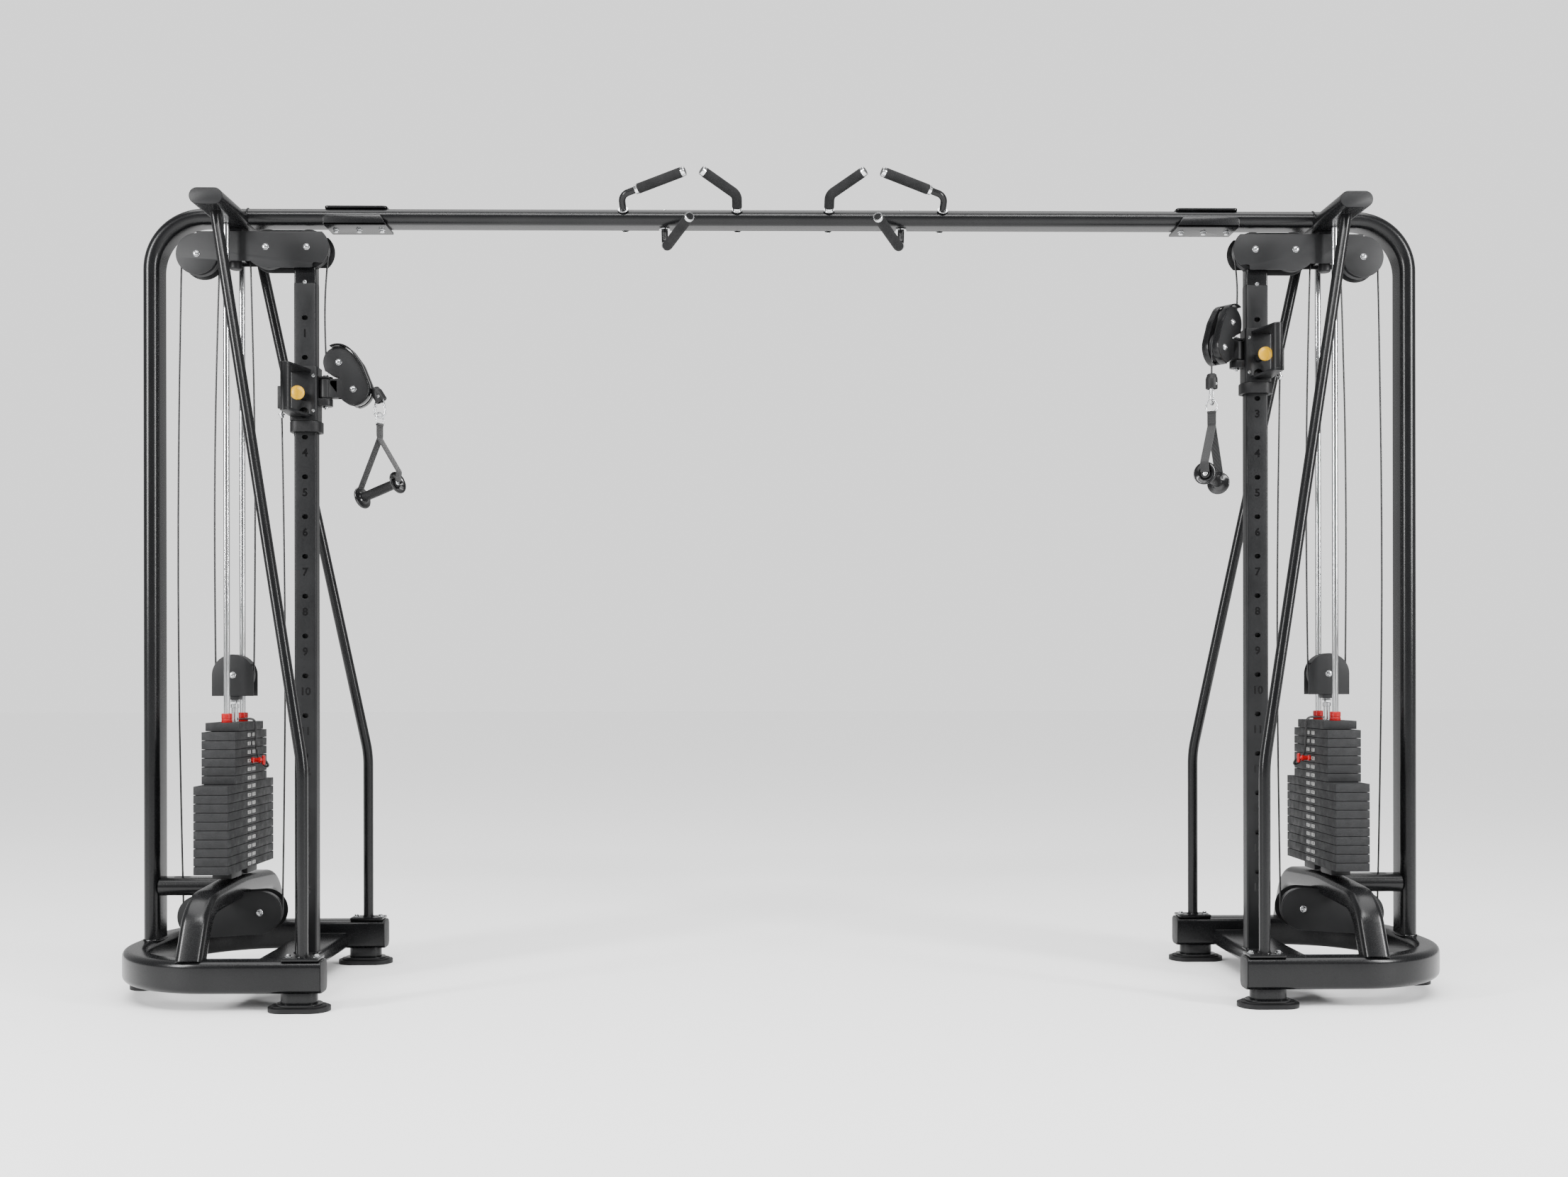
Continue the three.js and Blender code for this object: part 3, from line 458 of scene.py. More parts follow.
THREAD = textured("stitch_thread", (0.02, 0.02, 0.021), (0.05, 0.05, 0.052), (0.6, 0.8), 900, 0.0002)
LABEL = textured("plate_label", (0.22, 0.22, 0.215), (0.34, 0.34, 0.33), (0.45, 0.6),
                 300, 0.0001, 0.2, worn=60)
# Ink is print for the numerals and figures, the dark joint line at the splice, and painted shade in the pin
# socket discs.
INK_AND_SHADE = textured("ink", (0.001, 0.001, 0.0012), (0.002, 0.002, 0.0022), (0.2, 0.3), 500, 0.0001, 0.2,
               Specular_IOR_Level=0.3)


# ---------- pieces ----------
MIRROR = Matrix.Diagonal((-1, 1, 1, 1))


def piece(name, shape, material, body=ROOT, stands_for=(), mirrored=False, crease=32):
    """An object in metres from a shape in millimetres, riding on a body."""
    verts, faces = shape
    flip = -1 if mirrored else 1
    mesh = mesh_of(name, [(v[0] * MM * flip, v[1] * MM, v[2] * MM) for v in verts], faces, weld=1e-6)
    mesh.polygons.foreach_set("use_smooth", [True] * len(mesh.polygons))
    mesh.set_sharp_from_angle(angle=math.radians(crease))
    mesh.materials.append(material)
    made = linked(name, mesh)
    if body:
        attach(made, body)
    if stands_for:
        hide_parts(*stands_for)
    return made


def evaluated(made, matrix=Matrix.Identity(4)):
    """The final shape of an object, moved by a matrix."""
    mesh = made.evaluated_get(bpy.context.evaluated_depsgraph_get()).to_mesh()
    return [matrix @ v.co for v in mesh.vertices], [tuple(p.vertices) for p in mesh.polygons]


def drilled(shape, cutter):
    """The shape less the cutter."""
    body, tool = [linked("drilled", mesh_of("drilled", *each)) for each in (shape, cutter)]
    change = body.modifiers.new("cut", "BOOLEAN")
    change.operation = "DIFFERENCE"
    change.solver = "EXACT"
    change.object = tool
    result = evaluated(body)
    bpy.data.objects.remove(body)
    bpy.data.objects.remove(tool)
    return result


def lettering(text, high, thick, matrix):
    """Raised characters, centred on the origin of the matrix and standing along its Y."""
    curve = bpy.data.curves.new("lettering", "FONT")
    curve.body = text
    curve.size = high
    curve.extrude = thick
    curve.offset = high * 0.035
    curve.resolution_u = 3
    curve.align_x = "CENTER"
    curve.align_y = "CENTER"
    made = linked("lettering", curve)
    bpy.context.view_layer.update()
    shape = evaluated(made, matrix)
    bpy.data.objects.remove(made)
    return shape


# ---------- base ----------
def base_tube():
    corners = [(1352, -BASE_Y, 101), (1997, -BASE_Y, 101), (1997, BASE_Y, 101), (1352, BASE_Y, 101)]
    return sweep(rounded(75, 96, 20), fillet(corners, [310, 310], 4), Z)


def base_cross_tube():
    return slab(rounded(160, 51, 14, 1554, 78.5), "Y", -352, 352)


def base_caps():
    return merge(*(slab(rounded(71, 92, 18, y, 101), "X", 1349.6, 1354, 1.2) for y in (-BASE_Y, BASE_Y)))


def riser_arch():
    corners = [(1736, -393, 137), (1736, -318, 296), (1736, 0, 315), (1736, 318, 296), (1736, 393, 137)]
    return sweep(rounded(70, 78, 20), fillet(corners, [120, 900, 120], 5), X)


def link_tube():
    tube = slab(oval(96, 56, 0, 315), "X", 1740, UPRIGHT_X - 24)
    return drilled(tube, slab(oval(54, 20, 1901, 0), "Z", 270, 360))


def weld(path, r=3.2):
    """A weld bead along a closed path, its ripples a small wave in its radius."""
    path = [Vector(p) for p in path]
    rings = []
    for i, (point, tangent) in enumerate(zip(path, tangents(path, closed=True))):
        swell = r * (1 + 0.12 * math.sin(i * 2.1))
        rings.append(section_at(point, tangent, tangent.orthogonal().normalized(), ring(swell, 8)))
    return loft(rings, closed=True)


def base_welds():
    foot_of_upright = [(UPRIGHT_X + u, v, 149.5) for u, v in oval(51, 101, steps=16)]
    mast_foot = [(MAST_X + u, v, 104.5) for u, v in rounded(72, 46, 7, steps=5)]
    stations = (1480, 1500, 1520, 1540, 1560, 1580, 1600, 1628)
    beads = [round_tube([(x, y, 104.5) for x in stations], 3) for y in (-351, 351)]
    return merge(weld(foot_of_upright), weld(mast_foot), *beads)


FEET = [(1421, -BASE_Y, 181, 105), (1421, BASE_Y, 181, 105), (1997, 0, 105, 181)]


def foot_pads():
    pads = []
    for x, y, width, depth in FEET:
        pads.append(slab(oval(width, depth, x, y), "Z", 0, 13, 4))
        pads.append(slab(oval(width - 22, depth - 22, x, y), "Z", 12, 18, 2.5))
    return merge(*pads)


def foot_bosses():
    bosses = []
    for x, y, width, depth in FEET:
        size = (107, 62) if width > depth else (62, 107)
        bosses.append(slab(oval(*size, x, y), "Z", 17, 55, 1))
        bosses.append(slab(oval(size[0] + 26, size[1] + 26, x, y), "Z", 17, 23, 2))
    return merge(*bosses)


def low_covers():
    outline = convex([(LOW["inner"].x, LOW["inner"].z, 67), (LOW["outer"].x, LOW["outer"].z, 67)])
    spacers = [rod((1742, -34, z), (1742, 34, z), 6) for z in (175, 170)]
    return merge(*(slab(outline, "Y", *y, 0.9) for y in both_sides(34, 38)), *spacers)


def pair_of_bolts(x, z, y=38):
    return merge(button_bolt((x, -y, z), -Y), nut((x, y, z), Y))


def low_bolts():
    return merge(*(pair_of_bolts(place.x, place.z) for place in LOW.values()))


# ---------- corner frame, braces, mast and rods ----------
def corner_tube():
    corners = [(UPRIGHT_X, 0, 149.3), (UPRIGHT_X, 0, BEAM_Z), (SEAM_X + 0.3, 0, BEAM_Z)]
    return sweep(oval(50, 100), fillet(corners, [167], 4), Y)


def tee_tube():
    return slab(oval(100, 50, TEE["x"], TEE["z"]), "Y", -TEE["half"] + 2, TEE["half"] - 2)


def tee_caps():
    outline = oval(99, 49, TEE["x"], TEE["z"])
    return merge(*(slab(outline, "Y", *y, 1.2) for y in both_sides(TEE["half"] - 3, TEE["half"])))


def tee_weld():
    """Beads where the corner frame's beam stub passes through the tube across its top."""
    joins = [[(TEE["x"] + dx, u, BEAM_Z + v) for u, v in oval(101, 51, steps=16)] for dx in (-46, 46)]
    return merge(*(weld(join, 2.6) for join in joins))


def splice_plates():
    top, low = BEAM_Z + 25, BEAM_Z - 25
    middle, length = (1246 + 1441) / 2, 195
    upper = slab(rounded(length, 88, 12, middle, 0), "Z", top + 0.3, top + 7, 1)
    lower = slab(rounded(length, 112, 2, middle, 0), "Z", low - 7, low - 0.3, 0.8)
    side = [(1246, low - 7), (1441, low - 7), (1441, BEAM_Z - 6)]
    side += [(1435, BEAM_Z), (1264, BEAM_Z), (1246, low - 4)]
    return merge(upper, lower, *(slab(side, "Y", *y, 1) for y in both_sides(50.4, 56)))


def splice_seam():
    """The dark joint line between the beam and the corner frame's stub."""
    return slab(oval(100.4, 50.4, 0, BEAM_Z), "X", SEAM_X - 0.7, SEAM_X + 0.7)


def splice_bolts():
    shapes = []
    for x in (1270, 1342, 1416):
        shapes += [nut((x, 0, BEAM_Z + 32), Z, 14, 8), hex_bolt((x, 0, BEAM_Z - 32), -Z, 14, 10, 10)]
    return merge(*shapes)


def brace_tube(s):
    corners = [(BRACE_X, s * BASE_Y, 156), (BRACE_X, s * BASE_Y, 712), (1724, s * 206, 2384)]
    return sweep(ring(16.5, 32), fillet(corners, [400], 2), Vector((0.5, s, 0)).normalized())


def brace_plate(s):
    plate = slab(rounded(110, 72, 6, BRACE_X, s * BASE_Y), "Z", 149.4, 157, 1)
    return merge(plate, weld([(BRACE_X + u, s * BASE_Y + v, 157.5) for u, v in ring(17.5, 32)], 2.6))


def brace_bolts(s):
    return merge(*(hex_bolt((x, s * BASE_Y, 157), Z) for x in around(BRACE_X, 41)))


def mast_holes():
    first = MAST_TOP - MAST_HOLES["first"]
    return [first - k * MAST_HOLES["pitch"] for k in range(MAST_HOLES["count"])]


def mast_tube():
    tube = slab(rounded(70, 44, 6, MAST_X, 0), "Z", MAST_LOW, MAST_TOP, 0.6)
    holes = merge(*(slab(oval(18.7, 14.7, MAST_X, z), "Y", -30, -8) for z in mast_holes()))
    return drilled(tube, holes)


def mast_numbers(mirrored):
    """Painted numerals below each hole, on the face towards the user."""
    facing = Matrix.Rotation(math.radians(90), 4, "X")
    facing = MIRROR @ facing if mirrored else facing
    spots = [Matrix.Translation((MAST_X, -22.05, z - 50)) @ facing for z in mast_holes()]
    return merge(*(lettering(str(k + 1), 34, 0.12, spot) for k, spot in enumerate(spots)))


def guide_rods():
    x, top = ROD["x"], TEE["z"] - 26
    return merge(*(rod((x, y, 352), (x, y, top), ROD["r"], 0.3) for y in (-ROD["y"], ROD["y"])))


def rod_bumpers():
    pads = [block(around(ROD["x"], 30), around(s * ROD["y"], 48), (350.6, 373.4), 3) for s in (-1, 1)]
    return merge(block(around(ROD["x"], 16), (-40, 40), (350.6, 358), 1), *pads)


# ---------- top pulley housing ----------
def housing_outline():
    """Round the three pulleys under a flat top, with a notch that clears the arm's guard."""
    inner, mid, outer = TOP["inner"], TOP["mid"], TOP["outer"]
    r, top, shelf = 65, 2376, 2283
    inner_x, step_x, step_z = inner.x - 5, 1480, 2279

    def bearing(distance):
        return math.degrees(math.asin(distance / r))

    outline = arc(inner_x, inner.z, r, 180 - bearing(top - inner.z), 180 + bearing(inner.z - step_z), 14)
    outline += arc(step_x - 4, step_z - 4, 4, 90, 0, 4)
    outline += arc(inner_x, inner.z, r, 270 - bearing(inner_x - step_x), 270, 4)
    outline += arc(mid.x, mid.z, r, 270, 360 - bearing(mid.z - shelf), 8)
    outline += arc(outer.x, outer.z, r, 180 + bearing(outer.z - shelf), 450, 30)
    return outline + [(outer.x, top)]


def housing_plate(low, high):
    return slab(housing_outline(), "Y", low, high, 0.9)


def housing_frame():
    """Hanger, mast cap with its plug, and the spacers between the plates."""
    hanger = block((1702, 1768), (-33, 33), (2290, TEE["z"] - 25.5), 2)
    neck = slab(rounded(69, 43, 6, MAST_X, 0), "Z", MAST_TOP + 0.6, 2268, 0.6)
    lid = block((1480, 1842), (-33.7, 33.7), (2372, 2375.5), 1)
    return merge(hanger, neck, lid)


def housing_bolts():
    shapes = [pair_of_bolts(place.x, place.z) for place in TOP.values()]
    shapes.append(button_bolt((MAST_X, -21.5, MAST_TOP + 4), -Y, 5.5, 6.5))
    return merge(*shapes)


def stop_bumper():
    return at(lathe([(0, -26), (16, -26), (19, -23), (19, -3), (17, 0), (0, 0)]), 1731, 0, 2290)


def sheave(place, rim, width=20):
    """Grooved wheel with a web, hub and bearing seat, turning about Y."""
    half = width / 2
    bearings = [math.radians(d) for d in range(-60, 61, 20)]
    groove = [(rim - 8.5 + 5 * (1 - math.cos(a)), 5 * math.sin(a)) for a in bearings]
    side = [(7, half), (16, half), (17, half - 1), (18, half - 4), (rim - 15, half - 4)]
    side += [(rim - 13, half), (rim - 1, half), (rim, half - 1)]
    profile = [(r, -z) for r, z in side] + groove + side[::-1]
    return at(placed(lathe(profile, 64), Matrix.Rotation(math.radians(90), 4, "X")), *place)


# ---------- weight stack ----------
def plate_low(index):
    """The underside of a plate, counted from the top."""
    return STACK_BASE + (PLATE["count"] - 1 - index) * PLATE["pitch"]


def plate_row(first, last):
    """Plates, each a block with softened edges and its own shadow gap."""
    shapes = []
    for index in range(first, last):
        length = PLATE["narrow"] if index < PLATE["narrow_count"] else PLATE["wide"]
        low = plate_low(index)
        x, y = around(ROD["x"], PLATE["deep"] / 2), around(0, length / 2)
        shapes.append(block(x, y, (low, low + PLATE["high"]), 1.3))
    return merge(*shapes)


def plate_marks(first, last):
    """On the face towards the other tower: a pin socket drawn as a near-black disc of painted shade in place
    of the dark hole, and a label each side of it.
    """
    socket_shade, labels, figures = [], [], []
    turn = Matrix(((0, 0, -1, 0), (-1, 0, 0, 0), (0, 1, 0, 0), (0, 0, 0, 1)))
    for index in range(first, last):
        z = plate_low(index) + PLATE["high"] / 2
        # Painted shade: each pin socket is a near-black disc standing in for the shaded hole, and no hole is
        # cut.
        socket_shade.append(rod((STACK_FACE - 0.4, 0, z), (STACK_FACE + 6, 0, z), 7, 0.2, 24))
        for y, value in ((-23, 10 * (index + 1)), (23, 5 * (index + 1))):
            labels.append(block((STACK_FACE - 0.5, STACK_FACE + 0.5), around(y, 13), around(z, 5.5), 0.2))
            spot = Matrix.Translation((STACK_FACE - 0.55, y, z)) @ turn
            figures.append(lettering(str(value), 12, 0.08, spot))
    return merge(*socket_shade), merge(*labels), merge(*figures)


def head_plate():
    return block(around(ROD["x"], PLATE["deep"] / 2), around(0, 118), (HEAD_TOP - 26, HEAD_TOP), 1.3)


def head_collars():
    profile = [(9.9, 0), (16.2, 0), (16.5, 1), (16.5, 9), (15.6, 10), (15.6, 12), (16.5, 13), (16.5, 26)]
    collar = lathe(profile + [(15, 28), (9.9, 28)])
    return merge(*(at(collar, ROD["x"], y, HEAD_TOP) for y in (-ROD["y"], ROD["y"])))


def head_stem():
    low = STACK_PULLEY.z - 78
    stem = rod((ROD["x"], 0, HEAD_TOP - 1), (ROD["x"], 0, low), 11, 0.5)
    collar = rod((ROD["x"], 0, low - 26), (ROD["x"], 0, low - 14), 13.5, 1)
    return merge(stem, collar, nut((ROD["x"], 0, low - 12), Z, 26, 11))


def head_yoke():
    """Two cheeks over the stack pulley, joined by a rim over its top and a block below."""
    x, z = ROD["x"], STACK_PULLEY.z
    outline = [(x - 65.5, z - 66), (x + 65.5, z - 66)] + arc(x, z, 65.5, 0, 180, 40)
    cheeks = [slab(outline, "Y", *y, 0.9) for y in both_sides(18, 22)]
    rim = slab(arc(x, z, 65.2, 32, 148, 30) + arc(x, z, 63.4, 148, 32, 30), "Y", -18.2, 18.2)
    return merge(*cheeks, rim, block(around(x, 18), (-18.2, 18.2), (z - 78, z - 65), 1.5))


def selector_knob():
    x, z = STACK_FACE, PIN_Z
    profile = [(0, 0), (9, 0), (9, 5), (7, 8), (7, 18), (9, 22), (9, 26), (6, 28), (5, 36), (0, 36)]
    collar = standing(lathe(profile, 40), (x - 2, 0, z), -X)
    return merge(collar, rod((x - 38, 0, z - 15), (x - 38, 0, z + 15), 5.5, 2.5))


def selector_shaft():
    return rod((STACK_FACE - 3, 0, PIN_Z), (ROD["x"], 0, PIN_Z), 4, 1)


def lanyard_route():
    """Centreline of the curly cord from the stem to the selector pin."""
    x, top, pin = STACK_FACE, HEAD_TOP, PIN_Z
    return [
        (x + 39, 0, top + 8), (x + 18, 4, top + 9), (x + 3, 9, top + 9), (x - 8, 12, top - 1),
        (x - 9, 14, top - 26), (x - 8.5, 17, top - 60), (x - 9, 22, pin + 34), (x - 15, 27, pin + 4),
        (x - 30, 27, pin - 18), (x - 44, 22, pin - 21), (x - 46, 16, pin - 12), (x - 38, 14, pin - 1),
    ]


def smooth_line(points, step):
    """A Catmull-Rom curve through the points, with a point about every step."""
    points = [Vector(p) for p in points]
    ends = [2 * points[0] - points[1]] + points + [2 * points[-1] - points[-2]]
    fine = []
    for a, b, c, d in zip(ends, ends[1:], ends[2:], ends[3:]):
        count = max(2, round((c - b).length / step))
        square, cube = 2 * a - 5 * b + 4 * c - d, 3 * b - a - 3 * c + d
        for t in (k / count for k in range(count)):
            fine.append(0.5 * (2 * b + (c - a) * t + square * t ** 2 + cube * t ** 3))
    return fine + [points[-1]]


def distances(path):
    """How far along the path each of its points is."""
    total = [0.0]
    for a, b in zip(path, path[1:]):
        total.append(total[-1] + (Vector(b) - Vector(a)).length)
    return total


def helix(line, radius, pitch, per_turn=14):
    """A coil of the given radius and pitch wound round a line."""
    lengths = distances(line)
    count = int(lengths[-1] / pitch * per_turn)
    coil, segment, normal = [], 0, line[1] - line[0]
    normal = normal.normalized().orthogonal().normalized()
    for k in range(count + 1):
        s = lengths[-1] * k / count
        while segment < len(line) - 2 and lengths[segment + 1] < s:
            segment += 1
        tangent = (line[segment + 1] - line[segment]).normalized()
        share = (s - lengths[segment]) / (lengths[segment + 1] - lengths[segment])
        point = line[segment].lerp(line[segment + 1], share)
        normal = (normal - tangent * normal.dot(tangent)).normalized()
        angle = 2 * math.pi * k / per_turn
        coil.append(point + (normal * math.cos(angle) + tangent.cross(normal) * math.sin(angle)) * radius)
    return coil


def lanyard(tower):
    wire = 0.75
    coil = helix(smooth_line(lanyard_route(), 2), radius=3.2, pitch=2.1)
    made = tower.add("lanyard_coil", round_tube(coil, wire, 8), JACKET, "stack", ["lanyard"])


# ---------- carriage; z counts from the hole it is pinned in ----------
def ring_slab(outer, inner, low, high):
    """A tube along Z between two outlines with the same number of points."""
    profile = [(outer, low), (outer, high), (inner, high), (inner, low)]
    return loft([[(u, v, h) for u, v in outline] for outline, h in profile], closed=True)


def carriage_body():
    """Sleeve with a window onto the mast's number, ears for the arm's pivot, plunger boss and cable lug."""
    bore = rounded(73, 47, 6, MAST_X, 0)
    sleeve = ring_slab(rounded(87, 66, 9, MAST_X + 2.5, 0), bore, -75, 96)
    window = slab([(MAST_X + u, -50 + v) for u, v in ring(16, 40)], "Y", -40, -10)
    sleeve = softened(drilled(sleeve, window), 0.9)
    ear = convex([(1448, 0, 22), (1466, 0, 22)])
    ears = [slab(ear, "Z", low, high, 1.2) for low, high in ((61.3, 67), (-26, -3.3))]
    profile = [(7, 0), (13, 0), (13, 20), (11.5, 26), (11.5, 30), (7, 30)]
    boss = standing(lathe(profile), (MAST_X, -32, 0), -Y)
    return merge(sleeve, *ears, boss, block((1553, 1598), (-14, 14), (-34, 38), 4))


def carriage_collar():
    bore = rounded(73, 47, 6, MAST_X, 0, 9)
    return softened(ring_slab(rounded(100, 76, 30, MAST_X, 0, 9), bore, -110, -76), 1.8)


def carriage_grip():
    """The C-shaped grab bar: an upright bar between two plates that reach back to the sleeve."""
    bar = at(lathe([(0, -60), (13, -60), (16, -57), (16, 82), (13, 86), (0, 86)]), 1530, -150, 0)
    outline = convex([(1530, -150, 16.4), (1547, -32, 5), (1491, -32, 5)])
    return merge(bar, *(slab(outline, "Z", low, low + 8, 1.2) for low in (78, -63)))


def carriage_hardware():
    """The arm's pivot bolt, the cable's anchor button and the sleeve's screws."""
    pivot = [hex_bolt((1448, 0, 67), Z, 15, 7, 12), nut((1448, 0, -26), -Z, 15, 6)]
    anchor = rod((1587, 0, -34), (1587, 0, -50), 4.5, 0.6)
    profile = [(0, -62), (5.5, -62), (6, -61), (6, -54), (10, -53), (10, -49), (0, -49)]
    screws = [button_bolt((1479, -33, z), -Y, 4.2, 5.2) for z in (66, -44)]
    return merge(*pivot, anchor, at(lathe(profile), 1587, 0, 0), *screws)


def plunger_knob():
    profile = [(0, 0), (9, 0), (9.5, 6), (13, 10), (21, 12), (22, 15)]
    profile += [(21.5, 20), (17, 24), (9, 26), (0, 26.4)]
    return standing(lathe(profile), (MAST_X, -85.6, 0), -Y)


def plunger_shaft():
    return rod((MAST_X, -24, 0), (MAST_X, -88, 0), 6, 0.6)


# ---------- pulley arm; drawn with the pivot at the origin, reaching towards -x ----------
def cheek(low, high):
    """A side plate of the arm, open between its pulleys on the mast's side."""
    disc = slab(convex([(-UPPER[0], UPPER[1], 49), (-62, 76, 56), (-LOWER[0], LOWER[1], 49)]), "Y", low, high)
    mouth = convex([(-46, 62.5, 1.5), (8, 60, 3), (8, 84, 3), (-38, 66, 2)], 20)
    corner = [(-17, -12), (30, -12), (30, 62), (-17, 62)]
    for outline in (mouth, corner):
        disc = drilled(disc, slab(outline, "Y", low - 5, high + 5))
    return softened(disc, 0.8)


def arm_plates():
    """Cheeks and the tongues that tie them to the pivot's block and barrel."""
    cheeks = [cheek(*y) for y in both_sides(13, 17)]
    tongues = [block((-88, -14), y, (0, 55), 0.8) for y in both_sides(13.1, 16.9)]
    spacers = [block((-57, -47), (-17, 17), (160, 166), 0.8), block((-104, -92), (-17, 17), (-27, -21), 0.8)]
    barrel = lathe([(7, 0), (19, 0), (20, 1.2), (20, 57), (19, 58.4), (7, 58.4)])
    return merge(*cheeks, *tongues, *spacers, block((-40, -14), (-17, 17), (0, 55), 1.5), barrel)


def rim_line(grow, start, end):
    """The stretch of the guard's curve between two bearings from the arm's middle, grown outward."""
    circles = [(-UPPER[0], UPPER[1], 53 + grow), (-62, 76, 60 + grow), (-LOWER[0], LOWER[1], 52 + grow)]
    middle = (-64, 72)

    def bearing(p):
        return math.degrees(math.atan2(p[1] - middle[1], p[0] - middle[0])) % 360

    ordered = sorted((bearing(p), p) for p in convex(circles, 120))
    return [p for angle, p in ordered if start <= angle <= end]


def guard(start, end, low, high):
    """A strip of the guard: a band 4 mm thick that follows the curve."""
    outer, inner = rim_line(4, start, end), rim_line(0, start, end)
    return slab(outer + inner[::-1], "Y", low, high, 0.9)


def guards():
    return merge(guard(62, 252, -30, -8), guard(62, 252, 8, 30), guard(62, 98, -8.2, 8.2))


def arm_bolts():
    return merge(*(pair_of_bolts(-r, z, 17) for r, z in (UPPER, LOWER)))


# ---------- hook and handle; drawn with the hook's vertical line as the origin ----------
GRIP_HALF = 70
FLANGE_OUT = 7


def stop_shape(tower):
    """Rubber barrel on the cable's end, with a hollow foot."""
    profile = [(0, 0), (11, 0), (14.4, 2.5), (15.5, 8), (18, 14), (18.5, 18), (18.5, 45), (17.6, 47.5)]
    profile += [(14.5, 47.5), (13, 45), (12, 38), (0, 38)]
    return standing(lathe(profile), tower.stop_start, tower.stop_along)


def stop_screw(tower):
    profile = [(0, 0), (4.6, 0), (4.6, 1.4), (3.6, 2.4), (1.6, 2.4), (1.2, 1.6), (0, 1.6)]
    return standing(lathe(profile, 24), tower.stop_start + tower.stop_along * 33 - Y * 17.5, -Y)


def snap_hook(tower):
    """Wire carabiner, narrow at the top, with its gate and the eye at the cable's end."""
    top = tower.ring_top
    loop = [(u, 0, top - 32 + v) for u, v in convex([(0, 21.5, 10.5), (0, -15, 17)], 48)]
    sleeve = rod((0, 0, top + 5), (0, 0, top - 9), 4.6, 1)
    gate = rod((15.6, 0, top - 40), (11.6, 0, top - 17), 4.3, 0.8)
    return merge(round_tube(loop, 3.8, 16, closed=True), sleeve, gate)


def d_ring(tower):
    """Across the hook, its straight bar below in the webbing's fold."""
    z = tower.hook_low - 0.5
    outline = arc(0, 2, 17.3, -8, 188, 26)
    outline += arc(-14.6, -12, 2.5, 180, 270, 4) + arc(14.6, -12, 2.5, 270, 360, 4)
    return round_tube([(0, u, z + v - 0.4) for u, v in outline], 2.6, 12, closed=True)


def strap(tower):
    """Webbing folded over the ring's bar, parting into two legs that enter the flanges' cups."""
    z = tower.hook_low
    fold = [(u, 0, z - 20 + v) for u, v in arc(0, 0, 4, -30, 210, 14)]
    shapes = []
    for s in (-1, 1):
        rim = tower.grip_point(s * (GRIP_HALF + FLANGE_OUT + 3)) + Z * 33
        hub = tower.grip_point(s * (GRIP_HALF + FLANGE_OUT - 2)) + Z * 4
        leg = fillet([(s * 1.5, 0, z - 20), (s * 1.5, 0, z - 60), rim, hub], [30, 12], 6)
        shapes.append(sweep(rounded(2.8, 27, 1.1, steps=3), leg))
    return merge(*shapes, sweep(rounded(2.6, 27, 1, steps=3), fold))


def strap_stitches(tower):
    """Rows of stitches across the doubled webbing, on both faces."""
    shapes = []
    for row in range(4):
        z = tower.hook_low - 30 - row * 8
        for y in range(-9, 10, 3):
            shapes += [rod((x, y - 0.9, z), (x, y + 0.9, z + 1.2), 0.35, 0.1, 6) for x in (-3.05, 3.05)]
    return merge(*shapes)


def grip_tube(tower):
    """Moulded grip, a little fuller in the middle, with fine ribs."""
    half, ribs = GRIP_HALF, 36
    profile = [(0, -half), (14.2, -half)]
    for k in range(ribs + 1):
        z = (half - 6) * (2 * k / ribs - 1)
        swell = 0.9 * math.cos(math.pi * z / 2 / half)
        profile += [(14.2 + swell, z - 1.1), (14.7 + swell, z)]
    profile += [(14.2, half), (0, half)]
    return between(lathe(profile), tower.grip_point(0), tower.grip_point(1))


def grip_flanges(tower):
    """Glossy end cups: a rolled rim round a deep hollow, flared from the tube."""
    profile = [(0, -7), (15, -7), (19, -4), (26, -0.5), (33, 0.6), (35.6, 2.4), (36, 5)]
    profile += [(34.6, 7.2), (31.4, 7.6), (28, 6), (22, 2.6), (17, -2), (14, -5.5), (0, -5.5)]
    cup = lathe(profile, 64)
    return merge(*(between(cup, tower.grip_point(s * GRIP_HALF), tower.grip_point(s * 90)) for s in (-1, 1)))


def grip_bolts(tower):
    button = lathe([(0, 0), (8.5, 0), (9, 1), (8, 3.4), (5, 4.6), (2.2, 4.6), (2, 2.6), (0, 2.6)], 32)
    return merge(*(between(button, tower.grip_point(s * 71.5), tower.grip_point(s * 90)) for s in (-1, 1)))


# ---------- towers ----------
# How each tower's hook and handle hang: turns and tilts in degrees, and where the cable's stop starts.
HANGING = {
    "left": {"hook_turn": 0, "handle_turn": 27, "tilt": 16, "drop": 58.6, "stop": (-150.5, 0, 34.5)},
    "right": {"hook_turn": 18, "handle_turn": 18, "tilt": 6, "drop": 90, "stop": (-137, 0, -58)},
}


